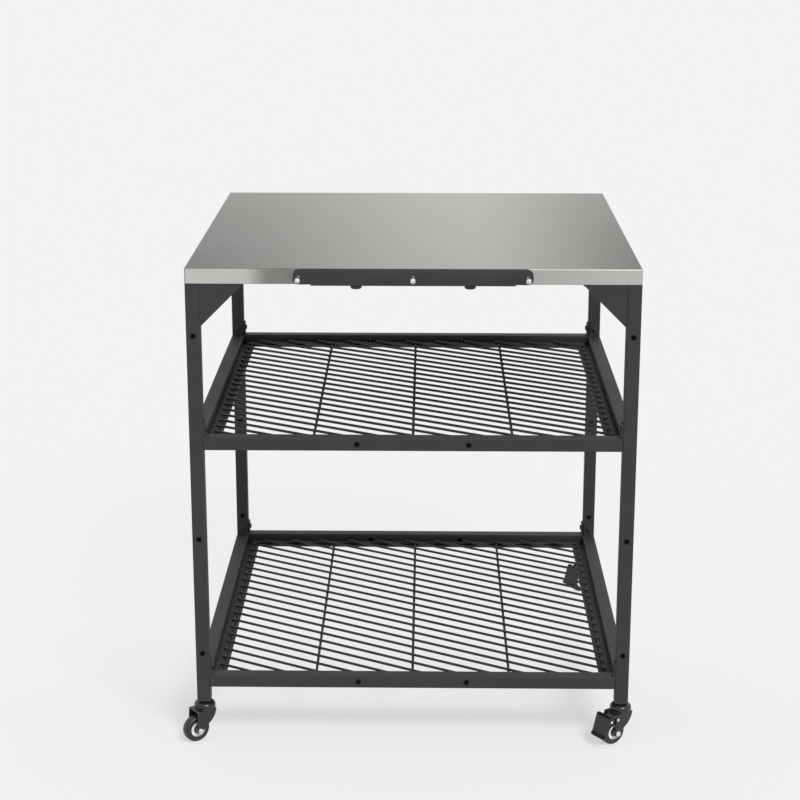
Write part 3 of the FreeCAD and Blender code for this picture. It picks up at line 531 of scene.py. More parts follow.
def plate(mesh, outline, thickness, place, roll):
    """Flat sheet from an outline of (x, y) pairs, its base on Z = 0 of a placement, edges rolled."""
    if area(outline) < 0:
        outline = outline[::-1]
    lower = [(0, roll), (0.3 * roll, 0.3 * roll), (roll, 0)]
    upper = [(thickness - height, inset) for height, inset in reversed(lower)]
    rows = []
    for height, inset in lower + upper:
        rows.append([place @ Vector((x, y, height)) for x, y in inward(outline, inset)])
    capped(mesh, rows)


def area(outline):
    """Signed area of an outline, positive when it runs anticlockwise."""
    pairs = zip(outline, outline[1:] + outline[:1])
    return sum(x0 * y1 - x1 * y0 for (x0, y0), (x1, y1) in pairs) / 2


def inward(outline, distance):
    """A closed outline, anticlockwise, moved inwards by a distance."""
    moved = []
    for i, (x, y) in enumerate(outline):
        before = (Vector((x, y)) - Vector(outline[i - 1])).normalized()
        after = (Vector(outline[(i + 1) % len(outline)]) - Vector((x, y))).normalized()
        left = Vector((-before.y - after.y, before.x + after.x)).normalized()
        lean = max(0.5, left.dot(Vector((-after.y, after.x))))
        moved.append((x + left.x * distance / lean, y + left.y * distance / lean))
    return moved


def aimed(place, direction):
    """Placement at a point whose Z axis points in a direction."""
    turn = Vector(direction).to_track_quat("Z", "Y").to_matrix().to_4x4()
    return Matrix.Translation(Vector(place)) @ turn


def cut_thread(first, second, start, end, pitch):
    """Profile of a thread: two radii in turn, half a pitch apart, up to an end."""
    points = []
    height = start
    while height < end:
        points += [(first, height), (second, height + pitch / 2)]
        height += pitch
    return points


def finished_mesh(name, mesh, material, sharp=35):
    """Mesh data in metres, smooth except at sharp edges, with its material."""
    bmesh.ops.recalc_face_normals(mesh, faces=mesh.faces)
    bmesh.ops.scale(mesh, vec=(MM, MM, MM), verts=mesh.verts)
    data = bpy.data.meshes.new(name)
    mesh.to_mesh(data)
    mesh.free()
    data.shade_smooth()
    data.set_sharp_from_angle(angle=math.radians(sharp))
    data.materials.append(bpy.data.materials[material])
    return data


def place_piece(name, data, body, node, place=None):
    """Put an object with this mesh in the scene, on its body and in place of a node's solids."""
    piece = bpy.data.objects.new(name, data)
    bpy.context.scene.collection.objects.link(piece)
    if place:
        piece.matrix_world = place
    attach(piece, body)
    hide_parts(node)


def fit_on_frame(name, mesh, material, node, sharp=35):
    """Make a piece of the frame from its mesh in millimetres, in place of a node's solids."""
    place_piece(name, finished_mesh(name, mesh, material, sharp), "frame", node)


def dress(nodes, material):
    """Give solids that stay as they are their material."""
    for node in nodes:
        data = frame["nodes"][node].data
        data.materials.clear()
        data.materials.append(bpy.data.materials[material])


def in_mm(node):
    """Lowest and highest corner of a solid at rest, in millimetres."""
    low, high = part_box(node)
    return low / MM, high / MM


# Wire shelves

EDGE_WIRE = 3.0
EDGE_WIRE_BEND = 6.0
EDGE_WIRE_SIDES = 18
WIRE = 2.5
WIRE_DOME = 0.5
GRILLE_GAP = 11.0
WIRE_PITCH = 31.9
WIRE_SLANT = math.radians(30)
WIRE_OVERHANG = 3.5
STRINGER_BAYS = 4
STRINGER_LIFT = 0.3
WELD_DEPTH = 0.5
WELD_UNEVEN = 0.12


def slanting_line(offset, reach_x, reach_y):
    """Ends of the slanting line at an offset from the centre, cut at the edge wire."""
    along = Vector((math.cos(WIRE_SLANT), -math.sin(WIRE_SLANT), 0))
    across = Vector((math.sin(WIRE_SLANT), math.cos(WIRE_SLANT), 0)) * offset
    in_x = sorted(((-reach_x - across.x) / along.x, (reach_x - across.x) / along.x))
    in_y = sorted(((-reach_y - across.y) / along.y, (reach_y - across.y) / along.y))
    start = max(in_x[0], in_y[0])
    end = min(in_x[1], in_y[1])
    return across + along * start, across + along * end, along


def weld(mesh, place, reach, height, size):
    """Flattened bead where two wires cross, under the coat that has run into it."""
    beads = [(reach * size * math.cos(t), height * math.sin(t))
             for t in (math.radians(a) for a in (-60, -30, 0, 30, 60))]
    profile = [(0, -height)] + beads + [(0, height)]
    turned(mesh, profile, Matrix.Translation(place), 10)


def wire_shelf(shelf, forms):
    """Welded wire shelf: bent edge wire, stringers, slanting wires and a weld at each crossing."""
    ledge_high = in_mm(shelf + "_shelf_ledges")[1]
    edge_x = ledge_high.x - GRILLE_GAP - EDGE_WIRE
    edge_y = ledge_high.y - GRILLE_GAP - EDGE_WIRE
    low = ledge_high.z + EDGE_WIRE
    mesh = bmesh.new()
    corners = []
    for x, y, start in ((1, 1, 0), (-1, 1, 90), (-1, -1, 180), (1, -1, 270)):
        middle = (x * (edge_x - EDGE_WIRE_BEND), y * (edge_y - EDGE_WIRE_BEND))
        corners += arc(middle, EDGE_WIRE_BEND, start, start + 90, 8)
    swept(mesh, [Vector((x, y, low)) for x, y in corners], EDGE_WIRE, EDGE_WIRE_SIDES, closed=True)
    stringers = [-edge_x + i * 2 * edge_x / STRINGER_BAYS for i in range(1, STRINGER_BAYS)]
    beam = low + STRINGER_LIFT
    for x in stringers:
        swept(mesh, [Vector((x, -edge_y, beam)), Vector((x, edge_y, beam))], WIRE)
        for y in (-edge_y, edge_y):
            place = Vector((x, y - math.copysign(EDGE_WIRE, y), beam))
            weld(mesh, place, WIRE * 1.5, WIRE * 1.1, 1.0)
    high = low + EDGE_WIRE + WIRE - WELD_DEPTH
    reach = edge_x * math.sin(WIRE_SLANT) + edge_y * math.cos(WIRE_SLANT)
    count = math.ceil(reach / WIRE_PITCH - 0.5)
    for i in range(-count, count):
        start, end, along = slanting_line((i + 0.5) * WIRE_PITCH, edge_x, edge_y)
        run = end - start
        if run.length + 2 * WIRE_OVERHANG <= WIRE_PITCH:
            continue
        up = Vector((0, 0, high))
        past = along * WIRE_OVERHANG
        swept(mesh, [start - past + up, end + past + up], WIRE)
        crossings = [start + run * ((x - start.x) / run.x) for x in stringers if start.x < x < end.x]
        for k, place in enumerate([start, end] + crossings):
            size = 1 + WELD_UNEVEN * math.sin(7.3 * i + 2.1 * k)
            under = low if k < 2 else beam
            place = place + Vector((0, 0, (under + high) / 2))
            weld(mesh, place, forms.weld_reach / MM, forms.weld_height / MM, size)
    return mesh


# Fasteners

BOLT_HEAD = 5.5
BOLT_RIM = 1.2
BOLT_HEIGHT = 3.4
BOLT_CROWN = 3.0
BOLT_SHANK = 3.0
SOCKET = 2.0
SOCKET_DEPTH = 2.0
BOLT_THREAD = 0.3
GUSSET_SHEET = 2.5
GUSSET_BOLT_INSET = 45.0
GUSSET_BOLT_LENGTH = 9.7
TAB_SHEET = 3.0
SHELF_BOLT_DROP = 13.0
SHELF_BOLT_LENGTH = 10.0
INSERT_BORE = 2.5
INSERT_BARREL = 4.5
INSERT_COLLAR = 5.2
INSERT_COLLAR_HEIGHT = 0.9
INSERT_LENGTH = 13.0
FINE_THREAD = 0.35
RAIL_INSERT_X = 100.0
RAIL_HEIGHT = 24.0
LEG_INSERT_HEIGHTS = (778.0, 398.0, 175.0)


def hexagon(turn, radius):
    """Distance to a hexagon's side at a turn, from its corners' radius."""
    return radius * math.cos(math.pi / 6) / math.cos(turn % (math.pi / 3) - math.pi / 6)


def domed_bolt(mesh, place, length, pitch):
    """Domed bolt: a rolled rim, a round crown, a hexagon socket and a cut thread below."""
    width, rise = BOLT_HEAD - BOLT_CROWN, BOLT_HEIGHT - BOLT_RIM
    crown = [(BOLT_CROWN + width * math.cos(t), BOLT_RIM + rise * math.sin(t))
             for t in (math.radians(a) for a in (0, 20, 40, 60, 78, 90))]
    profile = [(0, -length), (BOLT_SHANK - 2 * BOLT_THREAD, -length)]
    profile += cut_thread(BOLT_SHANK - BOLT_THREAD, BOLT_SHANK, -length + 0.6, -pitch, pitch)
    profile += [(BOLT_SHANK, 0), (BOLT_HEAD - 0.2, 0), (BOLT_HEAD, 0.2)] + crown
    profile += [(SOCKET + 0.35, BOLT_HEIGHT), (SOCKET, BOLT_HEIGHT - 0.25),
                (SOCKET, BOLT_HEIGHT - SOCKET_DEPTH), (0, BOLT_HEIGHT - SOCKET_DEPTH - 0.3)]

    def outline(turn, radius):
        return hexagon(turn, radius) if radius == SOCKET else radius

    turned(mesh, profile, place, 24, outline)


def threaded_insert(mesh, place, pitch):
    """Threaded insert: a thin rounded collar on the face, and a threaded barrel behind it."""
    high = INSERT_COLLAR_HEIGHT
    profile = [(INSERT_BORE + 0.4, high), (INSERT_COLLAR - 0.5, high), (INSERT_COLLAR - 0.12, high - 0.15),
               (INSERT_COLLAR, high / 2), (INSERT_COLLAR, 0), (INSERT_BARREL, 0),
               (INSERT_BARREL, -INSERT_LENGTH), (INSERT_BORE + 0.3, -INSERT_LENGTH)]
    thread = cut_thread(INSERT_BORE, INSERT_BORE - FINE_THREAD, -INSERT_LENGTH + 0.4, high - pitch, pitch)
    last = (INSERT_BORE, thread[-2][1] + pitch)
    turned(mesh, profile + thread + [last], place, 28, closed=True)


# Tool bar

BAR_SHEET = 2.5
BAR_TOP_CORNER = 13.0
BAR_LOW_CORNER = 9.0
BAR_FLANGE_INSET = 31.0
BAR_BEND = 2.0
BAR_ROLL = 0.3
BAR_LAP = 1.5
BAR_CLEAR = 0.02
HOOK_ROD = 1.75
HOOK_REACH = 30.0
HOOK_BALL = 5.2
HOOK_BELOW_TOP = 15.0
HOOK_END_INSET = 10.0
HOOK_ROOT = 2.5
KNOB = 10.0
KNOB_HEIGHT = 7.0
KNOB_ROUND = 3.0
KNOB_GRIPS = 16
KNOB_SCOOP = 0.85
KNOB_SCREW_LENGTH = 12.0
KNOB_X = 100.0
KNOB_Y = -389.0


def tool_bar_mesh():
    """Face with well rounded ends, and below it the flange that is folded back under the top."""
    low, high = in_mm("accessory_bar")
    half = high.x
    bottom = low.z + BAR_SHEET
    face = []
    for x, z, corner, start in ((1, high.z, BAR_TOP_CORNER, 0), (-1, high.z, BAR_TOP_CORNER, 90),
                                (-1, bottom, BAR_LOW_CORNER, 180), (1, bottom, BAR_LOW_CORNER, 270)):
        middle = z + (corner if z == bottom else -corner)
        face += arc((x * (half - corner), middle), corner, start, start + 90, 12)
    mesh = bmesh.new()
    upright = Matrix.Rotation(math.radians(90), 4, "X")
    plate(mesh, face, BAR_SHEET, Matrix.Translation((0, low.y + BAR_SHEET, 0)) @ upright, BAR_ROLL)
    front = low.y + BAR_CLEAR
    back = low.y + BAR_SHEET - BAR_CLEAR
    outside = [(front, bottom + BAR_LAP)]
    outside += arc((front + BAR_BEND, low.z + BAR_BEND), BAR_BEND, 180, 270, 8)
    outside += [(high.y - BAR_ROLL, low.z), (high.y, low.z + BAR_ROLL)]
    inside = [(high.y, bottom - BAR_ROLL), (high.y - BAR_ROLL, bottom)]
    inside += [(back, bottom), (back, bottom + BAR_LAP)]
    reach = half - BAR_FLANGE_INSET
    rows = [[Vector((x, y, z)) for y, z in outside + inside] for x in (-reach, reach)]
    skin(mesh, rows)
    bmesh.ops.holes_fill(mesh, edges=[edge for edge in mesh.edges if edge.is_boundary])
    return mesh


def tool_hook(mesh, place):
    """Straight peg pressed through the bar's face, turned to a neck and a ball at its end."""
    neck = HOOK_REACH - HOOK_BALL
    profile = [(0, -HOOK_ROOT), (HOOK_ROD - 0.3, -HOOK_ROOT), (HOOK_ROD, 0.3 - HOOK_ROOT), (HOOK_ROD, 0),
               (HOOK_ROD + 0.7, 0), (HOOK_ROD + 0.6, 0.35), (HOOK_ROD + 0.15, 0.7), (HOOK_ROD, 1.1),
               (HOOK_ROD, neck - 0.6), (HOOK_ROD + 0.12, neck)]
    profile += [(HOOK_BALL * math.cos(t), HOOK_REACH + HOOK_BALL * math.sin(t))
                for t in (math.radians(a) for a in range(-66, 84, 6))]
    turned(mesh, profile + [(0, HOOK_REACH + HOOK_BALL)], place, 32)


def grip_screw(mesh, place, pitch):
    """Moulded grip with finger scoops round its rim, on a short threaded screw."""
    def outline(turn, radius):
        if radius < KNOB - KNOB_ROUND + 0.5:
            return radius
        scoop = max(0.0, math.cos(KNOB_GRIPS * turn)) ** 1.5
        return radius - KNOB_SCOOP * scoop * min(1.0, (radius - KNOB + KNOB_ROUND) / KNOB_ROUND)

    low = -KNOB_HEIGHT
    profile = [(0, low + 0.5), (KNOB * 0.35, low + 0.35), (KNOB * 0.5, low + 0.05), (KNOB * 0.58, low)]
    profile += arc((KNOB - KNOB_ROUND, low + KNOB_ROUND), KNOB_ROUND, -90, 0, 8)
    profile += [(KNOB, -1.4), (KNOB - 0.3, -0.9), (KNOB - 0.8, -0.7), (KNOB - 2.5, -0.6),
                (KNOB - 2.8, 0), (BOLT_SHANK + 0.2, 0)]
    profile += cut_thread(BOLT_SHANK - BOLT_THREAD, BOLT_SHANK, 0.6, KNOB_SCREW_LENGTH - pitch, pitch)
    profile += [(BOLT_SHANK - 2 * BOLT_THREAD, KNOB_SCREW_LENGTH), (0, KNOB_SCREW_LENGTH)]
    turned(mesh, profile, place, 8 * KNOB_GRIPS, outline)


# Casters, in their own axes: u backwards along the trail, v along the axle, z up

WHEEL = 25.0
TRAIL = 20.0
TYRE_HALF = 9.0
SHOULDER = 5.0
HUB = 14.6
HUB_HALF = 8.2
HUB_DISH = 1.1
HUB_RIM = 1.6
HUB_BORE = 5.2
BEARING = 8.6
BEARING_SEAT = 2.0
BEARING_LIP = 0.5
BEARING_NECK = 7.0
BEARING_REACH = 15.2
AXLE = 4.0
AXLE_BORE = 4.05
AXLE_HEAD = 5.2
AXLE_HEAD_HEIGHT = 3.0
AXLE_ROUND = 1.3
AXLE_NUT = 5.8
AXLE_NUT_HEIGHT = 4.0
AXLE_TAIL = 2.0
GAP_HALF = 15.5
FORK_HALF = 17.5
CROWN_LOW = 60.1
CROWN_HIGH = 62.5
FORK_FRONT = -15.0
FORK_BACK = 24.5
FRONT_BULGE = 2.9
SHIN_BULGE = -1.8
WAIST = (0.0, 37.0)
BOSS = 6.5
BOSS_FRONT = math.radians(215)
SHOULDER_BEND = 1.8
BOWL = 19.9
BOWL_RIM = 64.5
BOWL_ROUND = 3.0
BOWL_SHEET = 2.0
CAP = 19.9
CAP_HIGH = 75.5
CAP_HEIGHT = 10.5
CAP_ROUND = 7.0
CAP_SHEET = 1.8
COLLAR = 8.5
COLLAR_HIGH = 77.5
STEM = 5.0
STEM_HIGH = 102.5
RACE = 9.0
KINGPIN = 7.5
SWIVEL_GAP = 0.3
KINGPIN_HEIGHT = 3.0
PEDAL_HOOD = (36.0, 61.5)
PEDAL_TOP = (40.5, 59.0)
PEDAL_FOOT = (50.0, 27.0)
PEDAL_TIP = (55.7, 21.3)
PEDAL_BEND = 2.5
PEDAL_WIDTH = 38.0
PEDAL_SHEET = 2.0
PEDAL_CORNER = 4.0
PIVOT = (20.0, 52.6)
PIVOT_BOSS = 4.0
EAR_OUTER = 15.1
EAR_SHEET = 1.5
EAR_DROP = 14.0
SHOE_INNER = 25.3
SHOE_DEPTH = 3.0
SHOE_START = 48.0
SHOE_END = 72.0
SHOE_RIVET = (33.3, 50.1)
PIN = 1.8
PIN_HEAD = 2.9
PIN_HEAD_HEIGHT = 1.3


def about_axle():
    """Placement on the axle, its Z axis along v."""
    return aimed((TRAIL, 0, WHEEL), (0, 1, 0))


def on_both_sides(one_side):
    """Closed profile from one side's points and their mirror images."""
    return one_side + [(r, -h) for r, h in reversed(one_side)]


def tyre_mesh(forms):
    """Soft tread: round shoulders, a lip at the core and a fine moulding line round the middle."""
    line = forms.parting_line / MM
    tread = WHEEL - line
    side = [(HUB, TYRE_HALF - 0.75), (HUB + 0.35, TYRE_HALF - 0.2), (HUB + 0.9, TYRE_HALF),
            (HUB + 1.9, TYRE_HALF - 0.05), (HUB + 2.4, TYRE_HALF - 0.22), (HUB + 3.0, TYRE_HALF - 0.08)]
    side += [(tread - SHOULDER + SHOULDER * math.sin(t), TYRE_HALF - SHOULDER + SHOULDER * math.cos(t))
             for t in (math.radians(a) for a in range(0, 91, 9))]
    side += [(tread, 1.6), (tread, 0.45), (WHEEL, 0.15)]
    mesh = bmesh.new()
    turned(mesh, on_both_sides(side), about_axle(), 96, closed=True)
    return mesh


def hub_mesh():
    """Moulded core, dished between its rim and the bearing seat on both sides."""
    seat = HUB_HALF - BEARING_SEAT
    web = HUB_HALF - HUB_DISH
    rim = HUB - HUB_RIM
    side = [(HUB_BORE, 0), (HUB_BORE, seat), (BEARING, seat), (BEARING, web - 0.25), (BEARING + 0.25, web),
            (rim - 0.5, web), (rim, web + 0.2), (HUB - HUB_RIM / 2 - 0.25, HUB_HALF - 0.2),
            (HUB - HUB_RIM / 2, HUB_HALF), (HUB - 0.25, HUB_HALF), (HUB, HUB_HALF - 0.25)]
    mesh = bmesh.new()
    turned(mesh, on_both_sides(side), about_axle(), 72, closed=True)
    return mesh


def bearing_cover_mesh():
    """Two pressed-in covers, each with a stepped neck that spaces the fork."""
    seat = HUB_HALF - BEARING_SEAT
    face = HUB_HALF + BEARING_LIP
    neck = BEARING_NECK
    profile = [(AXLE_BORE, 0.02), (AXLE_BORE, BEARING_REACH), (neck - 0.9, BEARING_REACH),
               (neck - 0.6, BEARING_REACH - 0.3), (neck - 0.6, face + 3.3), (neck - 0.3, face + 3.0),
               (neck, face + 2.8), (neck + 0.2, face + 0.7), (neck + 0.45, face + 0.15), (neck + 0.8, face),
               (BEARING - 0.5, face), (BEARING - 0.15, face - 0.15), (BEARING, face - 0.5),
               (BEARING, seat), (HUB_BORE, seat), (HUB_BORE, 0.02)]
    mesh = bmesh.new()
    turned(mesh, profile, about_axle(), 56, closed=True)
    turned(mesh, [(r, -h) for r, h in profile], about_axle(), 56, closed=True)
    return mesh


def axle_mesh(pitch):
    """Axle bolt with a round head, and its nut with a collar and a threaded tail."""
    head = FORK_HALF + AXLE_HEAD_HEIGHT
    tail = -FORK_HALF - AXLE_NUT_HEIGHT - AXLE_TAIL
    profile = [(0, tail), (AXLE - 2 * FINE_THREAD, tail)]
    profile += cut_thread(AXLE - FINE_THREAD, AXLE, tail + 0.6, -FORK_HALF - 0.5, pitch)
    profile += [(AXLE, -FORK_HALF), (AXLE, FORK_HALF), (AXLE_HEAD, FORK_HALF), (AXLE_HEAD, head - AXLE_ROUND)]
    profile += arc((AXLE_HEAD - AXLE_ROUND, head - AXLE_ROUND), AXLE_ROUND, 15, 90, 6)
    profile += [(1.6, head), (1.2, head - 0.5), (0, head - 0.6)]
    mesh = bmesh.new()
    turned(mesh, profile, about_axle(), 36)
    low = -FORK_HALF - AXLE_NUT_HEIGHT
    high = -FORK_HALF - 0.05
    nut = [(AXLE + 0.02, high), (AXLE_NUT - 0.75, high), (AXLE_NUT, -FORK_HALF - 0.5), (AXLE_NUT, low + 1.2),
           (AXLE_NUT - 0.8, low + 0.9), (AXLE_NUT - 1.1, low), (AXLE + 0.02, low)]

    def outline(turn, radius):
        if radius == AXLE_NUT:
            return hexagon(turn, radius)
        return radius * (0.985 if radius > AXLE_NUT - 0.9 else 1)

    turned(mesh, nut, about_axle(), 48, outline, closed=True)
    return mesh


def stem_mesh(pitch):
    """Stem with its collar, the swivel cap over the ball race, and the kingpin's head below."""
    neck_low = CROWN_LOW - SWIVEL_GAP
    head_low = neck_low - KINGPIN_HEIGHT
    cap_low = CAP_HIGH - CAP_HEIGHT
    race_low = CROWN_HIGH + SWIVEL_GAP
    cap_middle = (CAP - CAP_ROUND, CAP_HIGH - CAP_ROUND)
    thread = cut_thread(STEM, STEM - FINE_THREAD, 1.0 - STEM_HIGH, -COLLAR_HIGH - pitch, pitch)
    profile = [(0, STEM_HIGH), (STEM - 1, STEM_HIGH)] + [(r, -h) for r, h in thread]
    profile += [(STEM, COLLAR_HIGH), (COLLAR - 0.4, COLLAR_HIGH), (COLLAR, COLLAR_HIGH - 0.4),
                (COLLAR, CAP_HIGH + 0.5), (COLLAR + 0.5, CAP_HIGH)]
    profile += arc(cap_middle, CAP_ROUND, 90, 0, 10)
    profile += [(CAP, cap_low + 0.4), (CAP - 0.3, cap_low), (CAP - CAP_SHEET + 0.3, cap_low),
                (CAP - CAP_SHEET, cap_low + 0.4)]
    profile += arc(cap_middle, CAP_ROUND - CAP_SHEET, 0, 90, 6)
    profile += [(RACE, CAP_HIGH - CAP_SHEET), (RACE, race_low), (STEM, race_low), (STEM, neck_low),
                (KINGPIN - 0.2, neck_low), (KINGPIN, neck_low - 0.2), (KINGPIN, head_low + 1.0),
                (KINGPIN - 0.35, head_low + 0.35), (KINGPIN - 1.0, head_low), (0, head_low)]
    mesh = bmesh.new()
    turned(mesh, profile, None, 72)
    return mesh


def bulged(start, end, bulge, steps=10):
    """Points of an arc whose middle stands off its chord, to the left of it."""
    start, end = Vector(start), Vector(end)
    half = (end - start).length / 2
    along = (end - start).normalized()
    left = Vector((-along.y, along.x)) * math.copysign(1, bulge)
    rise = abs(bulge)
    radius = (half * half + rise * rise) / (2 * rise)
    centre = (start + end) / 2 - left * (radius - rise)
    sweep = math.asin(half / radius)
    return [tuple(centre + left * radius * math.cos(t) + along * radius * math.sin(t))
            for t in (sweep * (2 * i / steps - 1) for i in range(steps + 1))]


def reach_at(line, height):
    """Where a line of (u, z) points, rising in z, is at a height."""
    for (u0, z0), (u1, z1) in zip(line, line[1:]):
        if z0 <= height <= z1:
            return u0 + (u1 - u0) * (height - z0) / max(z1 - z0, 1e-6)
    return line[-1][0] if height > line[-1][1] else line[0][0]


def fork_limits(height):
    """Front and back of a fork's cheek at a height."""
    boss_front = (TRAIL + BOSS * math.cos(BOSS_FRONT), WHEEL + BOSS * math.sin(BOSS_FRONT))
    if height < WHEEL:
        half = math.sqrt(max(BOSS * BOSS - (WHEEL - height) ** 2, 0.3))
        back = TRAIL + half
        if height < boss_front[1]:
            return TRAIL - half, back
    else:
        share = (height - WHEEL) / (CROWN_HIGH - WHEEL)
        back = TRAIL + BOSS + (FORK_BACK - TRAIL - BOSS) * share
    front = bulged(boss_front, WAIST, SHIN_BULGE)
    front += bulged(WAIST, (FORK_FRONT, CROWN_HIGH), FRONT_BULGE)[1:]
    return reach_at(front, height), back


def sheet_ring(outer, inner, front, back, roll):
    """Closed ring round a strip of sheet, from the (v, z) of its two faces and its ends along u."""
    middle = [(a + b) / 2 for a, b in zip(outer, inner)]
    ends = [(0.0, 0.45), (0.12, 0.8), (0.45, 0.96)]
    half = [(front + roll * inset * 2, share) for inset, share in ends]
    for i in range(9):
        half.append((front + roll + (back - front - 2 * roll) * i / 8, 1.0))
    half += [(back - roll * inset * 2, share) for inset, share in reversed(ends)]
    ring = half + [(u, -share) for u, share in reversed(half)]
    return [Vector((u, *(m + (o - m) * share for m, o in zip(middle, outer)))) for u, share in ring]


def fork_mesh(forms):
    """Pressed fork: a shallow bowl under the swivel cap, a crown and two waisted cheeks."""
    roll = forms.edge_roll / MM
    low = WHEEL - BOSS + 0.02
    heights = [low + rise for rise in (0.15, 0.5, 1.1, 2.0, 3.2, 4.6, 6.0, 7.5)]
    step = (CROWN_HIGH - SHOULDER_BEND - heights[-1]) / 16
    heights += [heights[-1] + step * i for i in range(1, 17)]
    sides = [((FORK_HALF, z), (GAP_HALF, z), z) for z in heights]
    outer_bend = arc((FORK_HALF - SHOULDER_BEND, CROWN_HIGH - SHOULDER_BEND), SHOULDER_BEND, 0, 90, 6)
    inner_bend = arc((GAP_HALF - 0.8, CROWN_LOW - 0.8), 0.8, 0, 90, 6)
    bends = [(a, b, CROWN_HIGH) for a, b in zip(outer_bend, inner_bend)][1:]
    crown = [((v, CROWN_HIGH), (v, CROWN_LOW), CROWN_HIGH) for v in (8.0, 4.0, 0.0)]
    half = sides + bends + crown
    section = half + [((-a[0], a[1]), (-b[0], b[1]), z) for a, b, z in reversed(half[:-1])]
    mesh = bmesh.new()
    rows = [sheet_ring(outer, inner, *fork_limits(z), roll) for outer, inner, z in section]
    capped(mesh, rows)
    inner = BOWL - BOWL_ROUND
    profile = [(STEM + 0.1, CROWN_LOW + 0.3)]
    profile += arc((inner, CROWN_LOW + BOWL_ROUND), BOWL_ROUND, -88, 0, 12)
    profile += [(BOWL, BOWL_RIM - 0.8), (BOWL - 0.15, BOWL_RIM - 0.3), (BOWL - 0.6, BOWL_RIM)]
    profile += [(BOWL - BOWL_SHEET + 0.4, BOWL_RIM), (BOWL - BOWL_SHEET, BOWL_RIM - 0.4)]
    profile += arc((inner, CROWN_LOW + BOWL_ROUND + 0.5), BOWL_ROUND - BOWL_SHEET, 0, -88, 8)
    profile += [(STEM + 0.1, CROWN_HIGH + 0.2)]
    turned(mesh, profile, None, 80, closed=True)
    return mesh


def bent_line(points, radius, steps=6):
    """Line of (u, z) points with its inner corners rounded to a radius."""
    line = [Vector(points[0])]
    for before, corner, after in zip(points, points[1:], points[2:]):
        before, corner, after = Vector(before), Vector(corner), Vector(after)
        back = (before - corner).normalized()
        on = (after - corner).normalized()
        half = back.angle(on) / 2
        inset = radius / math.tan(half)
        centre = corner + (back + on).normalized() * (radius / math.sin(half))
        start, end = corner + back * inset - centre, corner + on * inset - centre
        turn = start.angle_signed(end)
        for i in range(steps + 1):
            line.append(centre + Matrix.Rotation(-turn * i / steps, 2) @ start)
    return line + [Vector(points[-1])]


def along_line(line, distance):
    """Point and left-hand normal of a line at a distance from its start."""
    for a, b in zip(line, line[1:]):
        run = (b - a).length
        if distance <= run or b is line[-1]:
            way = (b - a).normalized()
            return a + way * distance, Vector((-way.y, way.x))
        distance -= run
    return None


def pedal_plate(mesh, roll):
    """Foot plate: sheet bent from its hood down to its lip, its four corners rounded."""
    line = bent_line([PEDAL_HOOD, PEDAL_TOP, PEDAL_FOOT, PEDAL_TIP], PEDAL_BEND)
    length = sum((b - a).length for a, b in zip(line, line[1:]))
    half = PEDAL_WIDTH / 2
    widths = [half - inset for inset in (0, 0.15, 0.5, 1.2, 2.2, PEDAL_CORNER)] + [half * 0.5, 0.0]
    rows = []
    for v in widths + [-w for w in reversed(widths[:-1])]:
        past = max(0.0, abs(v) - (half - PEDAL_CORNER))
        trim = PEDAL_CORNER - math.sqrt(max(PEDAL_CORNER ** 2 - past ** 2, 0.0))
        edge = half - abs(v)
        full = PEDAL_SHEET / 2 * (0.5 if edge < 0.1 else 0.85 if edge < 0.4 else 1.0)
        start, end = trim, length - trim
        stops = [(start, 0.5), (start + 0.15, 0.85), (start + roll, 1.0)]
        stops += [(start + roll + (end - start - 2 * roll) * i / 40, 1.0) for i in range(1, 40)]
        stops += [(end - roll, 1.0), (end - 0.15, 0.85), (end, 0.5)]
        near_side, far_side = [], []
        for distance, share in stops:
            point, left = along_line(line, distance)
            near_side.append(point + left * full * share)
            far_side.append(point - left * full * share)
        rows.append([Vector((p.x, v, p.y)) for p in near_side + far_side[::-1]])
    capped(mesh, rows)


def pedal_mesh(forms):
    """Formed brake pedal: the foot plate, two ears on the pivot and the brake shoe."""
    roll = forms.edge_roll / MM
    mesh = bmesh.new()
    pedal_plate(mesh, roll)
    top = Vector(PEDAL_TOP)
    heel = top + (Vector(PEDAL_FOOT) - top).normalized() * EAR_DROP
    gap = PIVOT[1] - WHEEL
    rise = (SHOE_INNER ** 2 - PIVOT_BOSS ** 2 + gap ** 2) / (2 * gap)
    side = math.sqrt(SHOE_INNER ** 2 - rise ** 2)
    boss = arc(PIVOT, PIVOT_BOSS, 180 + math.degrees(math.atan2(gap - rise, side)), 88, 10)
    ear_end = 90 + math.degrees(math.asin(side / SHOE_INNER))
    ear = [tuple(top), tuple(heel)] + arc((TRAIL, WHEEL), SHOE_INNER, SHOE_START, ear_end, 12) + boss
    upright = Matrix.Rotation(math.radians(90), 4, "X")
    for v in (EAR_OUTER, -EAR_OUTER + EAR_SHEET):
        plate(mesh, ear, EAR_SHEET, Matrix.Translation((0, v, 0)) @ upright, 0.3)
    shoe = arc((TRAIL, WHEEL), SHOE_INNER + SHOE_DEPTH, SHOE_START, SHOE_END, 8)
    shoe += arc((TRAIL, WHEEL), SHOE_INNER, SHOE_END, SHOE_START, 8)
    inside = EAR_OUTER - EAR_SHEET
    plate(mesh, shoe, 2 * inside, Matrix.Translation((0, inside, 0)) @ upright, 0.25)
    return mesh


def rivet_mesh(place, half):
    """Pin along v with a domed, peened head at each end."""
    head = [(PIN_HEAD, half), (PIN_HEAD, half + 0.35), (PIN_HEAD * 0.93, half + 0.75),
            (PIN_HEAD * 0.72, half + 1.1), (PIN_HEAD * 0.4, half + PIN_HEAD_HEIGHT)]
    one_side = [(PIN, half)] + head + [(0, half + PIN_HEAD_HEIGHT)]
    mesh = bmesh.new()
    turned(mesh, [(r, -h) for r, h in reversed(one_side)] + one_side,
           aimed((place[0], 0, place[1]), (0, 1, 0)), 28)
    return mesh


